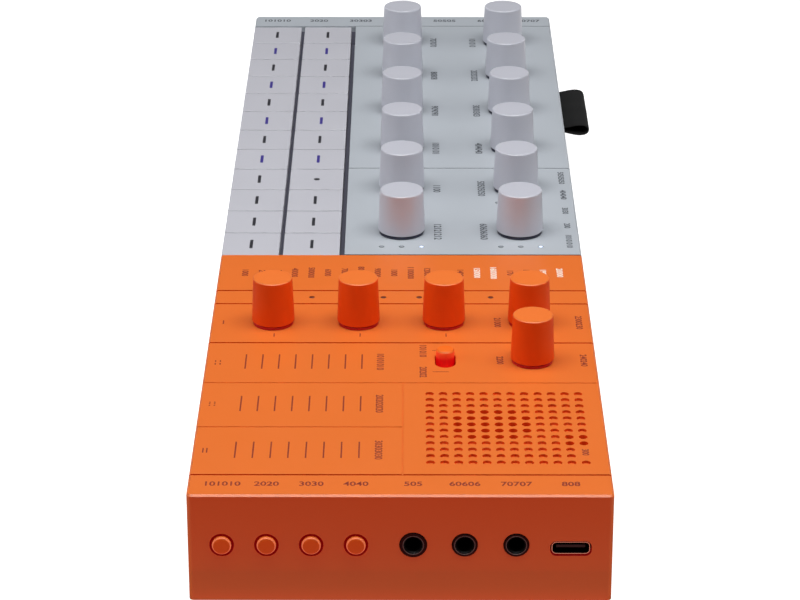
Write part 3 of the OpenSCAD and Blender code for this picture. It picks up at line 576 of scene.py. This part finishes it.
def makeCases():
    orangeFinishes = ("orangeShell", "orangePaintedShade", "holeWallPaintedGlow", "buttonGapPaintedShade")
    for node, name, materials, slotName in (
        ("grey_upper_case", "greyCase", ("greyShell", "greyPaintedShade"), "grey_shell"),
        ("orange_upper_case", "orangeCase", orangeFinishes, "orange_shell"),
    ):
        low, high = boxOf(node)
        bm = copyOfNode(node)
        paintRecessShade(bm, low, high)
        if node == "orange_upper_case":
            seamWall = [v for v in bm.verts if v.co.x < low.x + near]
            bmesh.ops.translate(bm, vec=(seamGap, 0, 0), verts=seamWall)
            widenGrooves(bm)
            deepenBlindHoles(bm)
            roundButtonHoles(bm)
        roundLips(bm, low, high)
        softenEdges(bm, caseSoft["width"], caseSoft["steps"])
        finishPiece(name, bm, [finishes[m] for m in materials], "case", [node])
    for node, name, finish, slotName in (
        ("base_cover", "baseCover", "greyShell", "grey_shell"),
        ("rubber_feet", "rubberFeet", "rubber", "rubber"),
        ("case_screws", "caseScrews", "steel", "steel"),
    ):
        bm = copyOfNode(node)
        softenEdges(bm, *softPlain.get(name, (caseSoft["width"], caseSoft["steps"])))
        finishPiece(name, bm, [finishes[finish]], "case", [node])


makeCases()
print("cases made")


# drum keys with their light windows

keyShape = {"corner": 0.35, "edge": 0.14, "steps": 3, "height": 5, "skirt": 1.2, "roof": 1.8, "halfStem": 3}
keyMark = {"length": 5.8, "width": 0.85, "proud": 0.03, "thick": 0.3, "corner": 0.2, "steps": 3, "dot": 1.7,
           "dotSteps": 32}
litKeys = (2, 4, 6, 8)
dotKey = "rear_key_9"


def makeKey(node, number):
    low, high = boxOf(node)
    middle = (low + high) / 2
    skirtUnder = high.z - keyShape["height"]
    bm = bmesh.new()
    addBlock(bm, (low.x, low.y, skirtUnder), (high.x, high.y, high.z))
    bevelEdges(bm, uprightEdges(bm, least=1), keyShape["corner"], keyShape["steps"])
    rim = [e for e in bm.edges if all(v.co.z > high.z - near for v in e.verts)]
    bevelEdges(bm, rim, keyShape["edge"], keyShape["steps"])
    under = [f for f in bm.faces if all(v.co.z < skirtUnder + near for v in f.verts)]
    bmesh.ops.inset_region(bm, faces=under, thickness=keyShape["skirt"])
    bmesh.ops.translate(bm, vec=(0, 0, high.z - keyShape["roof"] - skirtUnder),
                        verts=list({v for f in under for v in f.verts}))
    half = keyShape["halfStem"]
    addBlock(bm, (middle.x - half, middle.y - half, low.z),
             (middle.x + half, middle.y + half, high.z - keyShape["roof"] - near))
    finishPiece(node + "_cap", bm, [finishes["greyKey"]], node, [node])

    bm = bmesh.new()
    top = high.z + keyMark["proud"]
    under = top - keyMark["thick"]
    if node == dotKey:
        radius = keyMark["dot"] / 2
        profile = [(0, top), (radius, top), (radius, under), (0, under)]
        addSpin(bm, profile, (middle.x, middle.y, 0), keyMark["dotSteps"])
    else:
        reach, side = keyMark["length"] / 2, keyMark["width"] / 2
        addBlock(bm, (middle.x - reach, middle.y - side, under), (middle.x + reach, middle.y + side, top))
        bevelEdges(bm, uprightEdges(bm, least=keyMark["thick"] / 2), keyMark["corner"], keyMark["steps"])
    finish = "markLit" if number in litKeys else "markDark"
    finishPiece(node + "_mark", bm, [finishes[finish]], node)


for row in (frontKeys, rearKeys):
    for number, node in enumerate(row, 1):
        makeKey(node, number)
print("keys made")


# knobs, their shafts and the dark collars

knobShape = {"lip": 0.4, "lipSteps": 6, "foot": 0.15, "footStep": 0.02, "wall": 1.0, "roof": 2.0, "hub": 3.7,
             "hubUp": 0.2, "bore": 2.55, "boreRoof": 1, "shaft": 2.5, "shaftUnder": 1.1, "chamfer": 0.3,
             "steps": 72, "shaftSteps": 32}
knobFaces = {"shaft": 1, "disc": 2}
knobTaper = {"track": 0.5, "effect": 0.45}


def knobProfile(footR, topR, footZ, topZ):
    lip, foot, wall = knobShape["lip"], knobShape["foot"], knobShape["wall"]
    hub, bore, hubFoot = knobShape["hub"], knobShape["bore"], footZ + knobShape["hubUp"]
    roof = topZ - knobShape["roof"]
    boreTop = roof - knobShape["boreRoof"]
    lean = math.degrees(math.atan2(footR - topR, topZ - footZ))
    points = [(0, topZ)]
    points += arc(topR - lip, topZ - lip, lip, 90, lean, knobShape["lipSteps"])
    points += [(footR - knobShape["footStep"], footZ + foot), (footR - foot, footZ), (footR - wall, footZ)]
    points += [(topR - wall, roof), (hub, roof), (hub, hubFoot)]
    points += [(bore, hubFoot), (bore, boreTop), (0, boreTop)]
    return points


def makeKnob(node, kind, finish, discFinish):
    low, high = boxOf(node)
    middle = (low + high) / 2
    footR = (high.x - low.x) / 2
    topR = footR - knobTaper[kind]
    bm = bmesh.new()
    outline = knobProfile(footR, topR, knobFoot, high.z)
    faces = addSpin(bm, outline, (middle.x, middle.y, 0), knobShape["steps"])
    for face in faces:
        if face.calc_center_median().z > high.z - knobShape["lip"] / 2:
            face.material_index = knobFaces["disc"]
    shaftTop = high.z - knobShape["roof"] - knobShape["shaftUnder"]
    shaft, chamfer = knobShape["shaft"], knobShape["chamfer"]
    profile = [(0, shaftTop), (shaft - chamfer, shaftTop), (shaft, shaftTop - chamfer)]
    profile += [(shaft, low.z), (0, low.z)]
    addSpin(bm, profile, (middle.x, middle.y, 0), knobShape["shaftSteps"], materialIndex=knobFaces["shaft"])
    materials = [finishes[finish], finishes["steel"], finishes[discFinish]]
    finishPiece(node + "_cap", bm, materials, node, [node])


collar = {"inset": 0.35, "bore": 3.5, "tube": 4.2, "deep": 2.5, "round": 0.12, "flangeFrom": 0.3,
          "steps": 64}


def makeCollars():
    groups = (("greyCollars", trackKnobs, "darkCollar"), ("orangeCollars", effectKnobs, "redCollar"))
    for name, knobs, finish in groups:
        bm = bmesh.new()
        for node in knobs:
            low, high = boxOf(node)
            outer = (high.x - low.x) / 2 - collar["inset"]
            profile = [(collar["bore"], collarTop), (outer - collar["round"], collarTop),
                       (outer, collarTop - collar["round"]), (outer, caseTop), (collar["tube"], caseTop),
                       (collar["tube"], caseTop - collar["deep"]), (collar["bore"], caseTop - collar["deep"])]
            profile.append(profile[0])
            middle = (low + high) / 2
            addSpin(bm, profile, (middle.x, middle.y, 0), collar["steps"])
        finishPiece(name, bm, [finishes[finish]], "case", ["knob_encoders"])
    bm = copyOfNode("knob_encoders")
    flanges = [v for v in bm.verts if v.co.z > caseTop + collar["flangeFrom"]]
    bmesh.ops.delete(bm, geom=loosePartsOf(flanges), context="VERTS")
    finishPiece("encoders", bm, [finishes["blackPlastic"]], "case", ["knob_encoders"])


def loosePartsOf(seeds):
    found = set(seeds)
    queue = list(seeds)
    while queue:
        vert = queue.pop()
        for edge in vert.link_edges:
            other = edge.other_vert(vert)
            if other not in found:
                found.add(other)
                queue.append(other)
    return list(found)


for node in trackKnobs:
    makeKnob(node, "track", "greyKnob", "greyKnob")
for node in effectKnobs:
    makeKnob(node, "effect", "orangeKnobPaintedShade", "orangeDisc")
makeCollars()
print("knobs made")


# slide switch and end buttons

slideSoft = {"width": 0.18, "steps": 3}
# in slideFaces, side holds the painted shade and light
slideFaces = {"side": 1}
# in buttonFaces, edge holds the painted highlight of the rim and gap the painted shade behind it
buttonFaces = {"edge": 1, "gap": 2}
endButton = {"radius": 2.2, "flange": 3.15, "flangeFront": 2.25, "flangeBack": 3.05, "stem": 1.2,
             "stemLong": 2, "reach": 0.9, "edge": 0.14, "steps": 48}
leftButtons = {"count": 7, "pitch": 13.8}
dome = ((0, 0), (1.3, 0.01), (1.72, 0.04), (1.92, 0.1), (2.06, 0.2), (2.15, 0.34), (2.2, 0.5), (2.2, 1.05))


def addEndButton(bm, tip, side, y, z):
    wallX = tip - endButton["reach"]
    profile = [(r, tip - back) for r, back in dome]
    for radius, back in (("radius", "flangeFront"), ("flange", "flangeFront"), ("flange", "flangeBack"),
                         ("stem", "flangeBack")):
        profile.append((endButton[radius], wallX - endButton[back]))
    stemEnd = wallX - endButton["flangeBack"] - endButton["stemLong"]
    profile += [(endButton["stem"], stemEnd), (0, stemEnd)]
    before = set(bm.verts)
    faces = addSpin(bm, profile, (0, y, z), endButton["steps"], axis="X")
    # the back of the button gets painted shade, the band by its rim a painted highlight
    for face in faces:
        back = tip - face.calc_center_median().x
        if back > dome[-1][1]:
            face.material_index = buttonFaces["gap"]
        elif endButton["edge"] < back < dome[-2][1]:
            face.material_index = buttonFaces["edge"]
    if side < 0:
        turned = [v for v in bm.verts if v not in before]
        bmesh.ops.scale(bm, vec=(-1, 1, 1), verts=turned)
        bmesh.ops.recalc_face_normals(bm, faces=faces)


def makeMovers():
    bm = copyOfNode("slide_switch")
    bm.normal_update()
    # the side faces get the painted shade and light
    paintFaces([f for f in bm.faces if abs(f.normal.z) < facing["across"]], slideFaces["side"])
    softenEdges(bm, slideSoft["width"], slideSoft["steps"])
    finishPiece("slideCap", bm, [finishes["orangeButton"], finishes["switchSidePaintedShade"]], "slide_switch",
                ["slide_switch"])
    for node in numbered("right_end_button", 4):
        middle = middleOf(node)
        bm = bmesh.new()
        addEndButton(bm, boxOf(node)[1].x, 1, middle.y, middle.z)
        materials = [finishes[m] for m in ("orangeButton", "buttonRimPaintedHighlight", "buttonGapPaintedShade")]
        finishPiece(node + "_cap", bm, materials, node, [node])
    bm = bmesh.new()
    low, high = boxOf("left_end_buttons")
    for i in range(leftButtons["count"]):
        y = leftButtons["pitch"] * (i - (leftButtons["count"] - 1) / 2)
        addEndButton(bm, -low.x, -1, y, (low.z + high.z) / 2)
    finishPiece("leftButtonCaps", bm, [finishes[m] for m in ("greyKey", "greyKey", "greyPaintedShade")],
                "left_end_buttons", ["left_end_buttons"])


makeMovers()
print("switch and buttons made")


# sockets on the right end

jackRing = ((2.42, -0.1), (2.42, 0.03), (2.28, 0.03), (2.08, -0.12), (2.08, -0.25))
jackSteps = 48
# in jackFaces, rim holds the painted shade of the front faces
jackFaces = {"lip": 1, "spring": 2, "rim": 3}
jackSpring = {"middle": 14.7, "pitch": 11.75, "under": 1.8, "back": 8.4, "front": 6.8, "half": 0.5,
              "thick": 0.4}
portTongue = {"halfWidth": 3.37, "halfHeight": 0.37, "behind": 0.5}
portShell = {"halfWidth": 4.45, "halfHeight": 1.6, "wall": 0.3, "inset": 0.09, "recess": 0.3}
# in portFaces, rim holds the painted highlight of the front rim
portFaces = {"tongue": 1, "pins": 2, "rim": 3, "inside": 4}
portPins = {"count": 12, "pitch": 0.5, "half": 0.13, "back": 4.4, "front": 1.6, "under": 0.34, "top": 0.37}
socketSoft = {"jack": (0.08, 2), "port": (0.04, 2)}
frontSkin = 0.05


def frontFaces(bm, frontX):
    found = []
    for face in bm.faces:
        if face.normal.x > facing["along"] and face.calc_center_median().x > frontX - frontSkin:
            found.append(face)
    return found


def makeAudioSockets():
    bm = copyOfNode("jack_sockets")
    bm.normal_update()
    low, high = boxOf("jack_sockets")
    midZ = (low.z + high.z) / 2
    # the front faces get the painted shade
    paintFaces(frontFaces(bm, high.x), jackFaces["rim"])
    softenEdges(bm, *socketSoft["jack"])
    for i in (-1, 0, 1):
        y = jackSpring["middle"] + i * jackSpring["pitch"]
        z = midZ - jackSpring["under"]
        addBlock(bm, (high.x - jackSpring["back"], y - jackSpring["half"], z),
                 (high.x - jackSpring["front"], y + jackSpring["half"], z + jackSpring["thick"]),
                 jackFaces["spring"])
        addSpin(bm, [(r, high.x + x) for r, x in jackRing], (0, y, midZ), jackSteps, axis="X",
                materialIndex=jackFaces["lip"])
    materials = [finishes[m] for m in ("socketPlastic", "socketLip", "steel", "socketRimPaintedShade")]
    finishPiece("audioSockets", bm, materials, "case", ["jack_sockets"])


def makePowerSocket():
    bm = copyOfNode("usb_port")
    low, high = boxOf("usb_port")
    middleY = (low.y + high.y) / 2
    shellMid = high.z - portShell["halfHeight"]
    innerWide = portShell["halfWidth"] - portShell["wall"] + near
    innerHigh = portShell["halfHeight"] - portShell["wall"] + near
    bm.normal_update()
    rim = frontFaces(bm, high.x)
    for face in bm.faces:
        centre = face.calc_center_median()
        aside, upward = abs(centre.y - middleY), abs(centre.z - shellMid)
        onTongue = aside < portTongue["halfWidth"] and upward < portTongue["halfHeight"]
        if onTongue and centre.x > low.x + portTongue["behind"]:
            face.material_index = portFaces["tongue"]
        elif aside < innerWide and upward < innerHigh:
            face.material_index = portFaces["inside"]
    # the front rim gets the painted highlight
    paintFaces(rim, portFaces["rim"])
    made = bmesh.ops.inset_region(bm, faces=rim, thickness=portShell["inset"], use_even_offset=True)
    paintFaces(made["faces"], portFaces["inside"])
    front = [v for v in bm.verts if v.co.x > high.x - frontSkin]
    bmesh.ops.translate(bm, vec=(-portShell["recess"], 0, 0), verts=front)
    softenEdges(bm, *socketSoft["port"])
    for i in range(portPins["count"]):
        y = middleY + (i - (portPins["count"] - 1) / 2) * portPins["pitch"]
        addBlock(bm, (high.x - portPins["back"], y - portPins["half"], shellMid + portPins["under"]),
                 (high.x - portPins["front"], y + portPins["half"], shellMid + portPins["top"]),
                 portFaces["pins"])
    materials = [finishes[m] for m in ("steel", "blackPlastic", "contactGold", "portRimPaintedGlow", "socketPlastic")]
    finishPiece("powerSocket", bm, materials, "case", ["usb_port"])


makeAudioSockets()
makePowerSocket()
print("sockets made")


# fabric tab

tab = {"thick": 0.6, "bulge": 2.08, "stem": 3.4, "stemShare": 0.12, "apart": 0.37, "clear": 0.1,
       "acrossSteps": 14, "alongSteps": 56, "measureSteps": 200, "smooth": 1,
       "sharp": 80}
tabRipple = {"slow": 0.10, "slowWaves": 5.1, "lean": 3, "fast": 0.06, "fastWaves": 11, "start": 1.3,
             "flare": 0.05}
tabWeave = {"width": 0.0335, "length": 0.026}


def tabPoint(share, reach):
    stem, apart = tab["stemShare"], tab["apart"]
    if share < stem:
        return (-tab["stem"] * (1 - share / stem), apart)
    if share > 1 - stem:
        return (-tab["stem"] * (1 - (1 - share) / stem), -apart)
    angle = fullTurn * (share - stem) / (1 - 2 * stem)
    out = reach * (1 - math.cos(angle)) / 2
    rise = tab["bulge"] * math.sin(angle) * math.sin(angle / 2) ** 2 + apart * math.cos(angle / 2)
    return (out, rise)


def ripple(share, across):
    slow = tabRipple["slow"] * math.sin(across * tabRipple["slowWaves"] + tabRipple["lean"] * share)
    return slow + tabRipple["fast"] * math.sin(across * tabRipple["fastWaves"] + tabRipple["start"])


def makeTab():
    low, high = boxOf("fabric_loop")
    middle = (low + high) / 2
    reach = high.y - backY - tab["thick"] / 2 - tab["clear"]
    width = high.x - low.x - 2 * tab["clear"]
    bm = bmesh.new()
    bmesh.ops.create_grid(bm, x_segments=tab["alongSteps"], y_segments=tab["acrossSteps"], size=1,
                          calc_uvs=False)
    layer = bm.loops.layers.uv.new("UVMap")
    for face in bm.faces:
        for loop in face.loops:
            loop[layer].uv = ((loop.vert.co.x + 1) / 2, (loop.vert.co.y + 1) / 2)
    for vert in bm.verts:
        share = (vert.co.x + 1) / 2
        across = vert.co.y
        out, rise = tabPoint(share, reach)
        loose = max(0.0, out) / reach
        flare = 1 + tabRipple["flare"] * across
        z = middle.z + rise * flare + ripple(share, across) * loose
        vert.co = (middle.x + across * width / 2, backY + out, z)
    ribbon = wovenRibbon("wovenRibbon", tone(7, 7, 8), tabWeave["width"], tabWeave["length"])
    piece = finishPiece("fabricTab", bm, [ribbon], "case", ["fabric_loop"],
                        sharp=tab["sharp"], evenShade=False)
    wall = piece.modifiers.new("cloth", "SOLIDIFY")
    wall.thickness = tab["thick"] / perMetre
    wall.offset = 0
    smooth = piece.modifiers.new("smooth", "SUBSURF")
    smooth.levels = smooth.render_levels = tab["smooth"]


makeTab()
print("fabric tab made")


# inner parts that keep their own shape, and a plate with the key frame's painted glow that closes the far end
# of the key rows

# the key frame's finish is painted light
insideFinishes = {"key_frame": "keyFramePaintedGlow", "circuit_board": "boardMask", "speaker": "paperCone",
                  "battery_pack": "cellWrap"}
frameEnd = {"back": 0.36, "front": 0.1, "side": 1, "farSide": 1.2, "under": 1.9}


def paintInside():
    for node, finish in insideFinishes.items():
        data = nodes[node].data
        data.materials.clear()
        data.materials.append(finishes[finish])


# the plate is lighter and glows where the far end of the row gaps lies in shade
def makeFrameEnd():
    start = boxOf("front_key_1")[0]
    end = boxOf("rear_key_1")[1]
    bm = bmesh.new()
    addBlock(bm, (start.x - frameEnd["back"], start.y + frameEnd["side"], boxOf("key_frame")[1].z),
             (start.x - frameEnd["front"], end.y + frameEnd["farSide"], caseTop - frameEnd["under"]))
    finishPiece("keyFrameEnd", bm, [finishes["keyFramePaintedGlow"]], "case")


paintInside()
makeFrameEnd()


# light windows in the panels

lens = {"radius": 0.68, "proud": 0.04, "sink": 0.4, "rim": 0.15, "edge": 0.1, "steps": 24}
lightRow = {"x": rightX - 111.4, "count": 6, "pitch": 9.3}
knobLights = {"ahead": 10.7, "side": 5.4, "knobs": "56", "lit": "6"}


def addLens(bm, x, y):
    radius, top = lens["radius"], caseTop + lens["proud"]
    foot = caseTop - lens["sink"]
    profile = [(0, top), (radius - lens["rim"], top), (radius, top - lens["edge"]), (radius, foot), (0, foot)]
    addSpin(bm, profile, (x, y, 0), lens["steps"])


def makeLenses():
    bm = bmesh.new()
    for i in range(lightRow["count"]):
        addLens(bm, lightRow["x"], (i - (lightRow["count"] - 1) / 2) * lightRow["pitch"])
    finishPiece("stripLenses", bm, [finishes["lensDark"]], "case")
    dark, lit = bmesh.new(), bmesh.new()
    for node in trackKnobs:
        if node[-1] not in knobLights["knobs"]:
            continue
        middle = middleOf(node)
        for side in (-1, 0, 1):
            target = lit if side == 1 and node[-1] == knobLights["lit"] else dark
            addLens(target, middle.x + knobLights["ahead"], middle.y + side * knobLights["side"])
    finishPiece("knobLenses", dark, [finishes["lensGrey"]], "case")
    finishPiece("litLenses", lit, [finishes["lensLit"]], "case")


makeLenses()
print("light windows made")


# printed marks: strokes and plain numbers

ink = {"lift": 0.012, "thick": 0.012, "bold": 0.05, "fullHeight": 1.37, "roundness": 3, "sharp": 60}
touchTicks = {"columns": (rightX - 71.7, rightX - 47.7, rightX - 22.9), "count": 8, "first": -38.5,
              "pitch": 4.12, "length": 8.4, "width": 0.34, "nameY": -5.2, "nameHeight": 1.8}
# the small signs before the touch strips: one dash, two by two dashes, two by three dots, two long dashes
touchSigns = {"y": -45.4, "stroke": 0.3, "apart": 0.6, "single": 2.2, "dash": 0.9, "dashMiddle": 0.6,
              "dashStep": 0.8, "dot": (0.45, 0.35), "dotMiddle": 0.2, "dotStep": 0.9, "long": 2.4,
              "longMiddle": 0.3, "longY": -45.6, "longApart": 0.45}
endRow = {"x": rightX - 5.6, "height": 2.1}
endNames = ((-40.7, "101010"), (-30.5, "2020"), (-20.3, "3030"), (-10.1, "4040"), (2.95, "505"),
            (14.7, "60606"), (26.45, "70707"), (38.9, "808"))
labelRow = {"x": rightX - 127.6, "first": 41.9, "pitch": 4.39, "height": 1.7}
labelLengths = (5, 4, 4, 3, 7, 6, 4, 3, 6, 7, 4, 5, 7, 5, 4, 6, 5, 3, 3, 4)
whiteLabels = (0, 1, 4, 5)
effectTick = {"ahead": 7.8, "side": 0.5, "length": 2, "width": 0.25}
effectNames = {"height": 1.7, "places": ((effectX, 24.5, "21000"), (99.0, 24.5, "2200"),
                                         (effectX, 45.3, "2300230"), (99.0, 45.3, "240240"))}
slideNames = {"y": 5.4, "height": 1.8, "ahead": 0.2, "lineSide": 3.2, "lineWidth": 0.22,
              "lines": ((93.2, 3.0, "101010"), (105.7, 4.0, "20202"))}
cornerName = {"text": "300", "x": rightX - 21.8, "y": 43.0, "height": 1.6}
knobNames = {"rear": ("101010", "2020202", "3030303", "404040", "50505050", "60606060"),
             "front": ("707070", "80808", "909090", "1010101", "1100", "12121212"),
             "rearSide": 9.9, "frontSide": 9.8, "height": 2.1}
backRow = {"y": 45.5, "height": 1.7}
backNames = ((22, "10101010"), (11, "200"), (0, "3030"), (-12, "404040"), (-25, "50505050"))
farRow = {"x": leftX + 4.6, "height": 2.2}
farNames = ("101010", "2020", "30303", "4040", "50505", "6060", "70707")


def addStroke(bm, x, y, alongX, alongY):
    z = caseTop + ink["lift"]
    addBlock(bm, (x - alongX / 2, y - alongY / 2, z - ink["thick"]), (x + alongX / 2, y + alongY / 2, z))


def addNumber(bm, text, x, y, height, turn=0.0):
    curve = bpy.data.curves.new("number", "FONT")
    curve.body = text
    curve.size = height * ink["fullHeight"]
    curve.extrude = ink["thick"] / 2
    curve.offset = ink["bold"]
    curve.resolution_u = ink["roundness"]
    curve.align_x = "CENTER"
    curve.align_y = "CENTER"
    holder = bpy.data.objects.new("number", curve)
    bpy.context.scene.collection.objects.link(holder)
    bpy.context.view_layer.update()
    mesh = bpy.data.meshes.new_from_object(holder)
    place = Matrix.Translation((x, y, caseTop + ink["lift"] - ink["thick"] / 2))
    mesh.transform(place @ Matrix.Rotation(turn, 4, "Z"))
    bm.from_mesh(mesh)
    bpy.data.meshes.remove(mesh)
    bpy.data.objects.remove(holder)
    bpy.data.curves.remove(curve)


def finishPrint(name, bm, finish):
    finishPiece(name, bm, [finishes[finish]], "case", sharp=ink["sharp"], evenShade=False)


def addTouchStrips(bm):
    for x in touchTicks["columns"]:
        for i in range(touchTicks["count"]):
            y = touchTicks["first"] + i * touchTicks["pitch"]
            addStroke(bm, x, y, touchTicks["length"], touchTicks["width"])
    for number, x in enumerate(touchTicks["columns"], 1):
        addNumber(bm, f"{number}0" * 4, x, touchTicks["nameY"], touchTicks["nameHeight"])


def addTouchSigns(bm):
    first, second, third = touchTicks["columns"]
    signs = touchSigns
    addStroke(bm, effectX, signs["y"], signs["single"], signs["stroke"])
    for side in (-1, 1):
        y = signs["y"] + side * signs["apart"]
        for end in (-1, 1):
            dashX = first + signs["dashMiddle"] + end * signs["dashStep"]
            addStroke(bm, dashX, y, signs["dash"], signs["stroke"])
        for i in (-1, 0, 1):
            addStroke(bm, second + signs["dotMiddle"] + i * signs["dotStep"], y, *signs["dot"])
        longY = signs["longY"] + side * signs["longApart"]
        addStroke(bm, third + signs["longMiddle"], longY, signs["long"], signs["stroke"])


def addSlidePrint(bm):
    slide = middleOf("slide_switch")
    for x, length, text in slideNames["lines"]:
        addStroke(bm, x, slide.y - slideNames["lineSide"] + length / 2, slideNames["lineWidth"], length)
        addNumber(bm, text, x + slideNames["ahead"], slideNames["y"], slideNames["height"])


def makeOrangePrint():
    dark, pale = bmesh.new(), bmesh.new()
    addTouchStrips(dark)
    addTouchSigns(dark)
    for y, text in endNames:
        addNumber(dark, text, endRow["x"], y, endRow["height"], quarterTurn)
    for i, length in enumerate(labelLengths):
        target = pale if i in whiteLabels else dark
        text = str(len(labelLengths) - i).ljust(length, "0")
        addNumber(target, text, labelRow["x"], labelRow["first"] - labelRow["pitch"] * i, labelRow["height"])
    tick = effectTick
    for node in numbered("effect_knob", 4):
        middle = middleOf(node)
        addStroke(dark, middle.x + tick["ahead"], middle.y + tick["side"], tick["length"], tick["width"])
    for x, y, text in effectNames["places"]:
        addNumber(dark, text, x, y, effectNames["height"])
    addSlidePrint(dark)
    addNumber(dark, cornerName["text"], cornerName["x"], cornerName["y"], cornerName["height"])
    finishPrint("orangePrint", dark, "darkInk")
    finishPrint("palePrint", pale, "whiteInk")


def makeGreyPrint():
    bm = bmesh.new()
    for side, aside in (("rear", -knobNames["rearSide"]), ("front", knobNames["frontSide"])):
        for i, text in enumerate(knobNames[side], 1):
            middle = middleOf(f"{side}_track_knob_{i}")
            addNumber(bm, text, middle.x, middle.y + aside, knobNames["height"])
    for x, text in backNames:
        addNumber(bm, text, x, backRow["y"], backRow["height"])
    for i, text in enumerate(farNames):
        y = leftButtons["pitch"] * (i - (leftButtons["count"] - 1) / 2)
        addNumber(bm, text, farRow["x"], y, farRow["height"], quarterTurn)
    finishPrint("greyPrint", bm, "greyInk")


makeOrangePrint()
makeGreyPrint()
print("marks made")
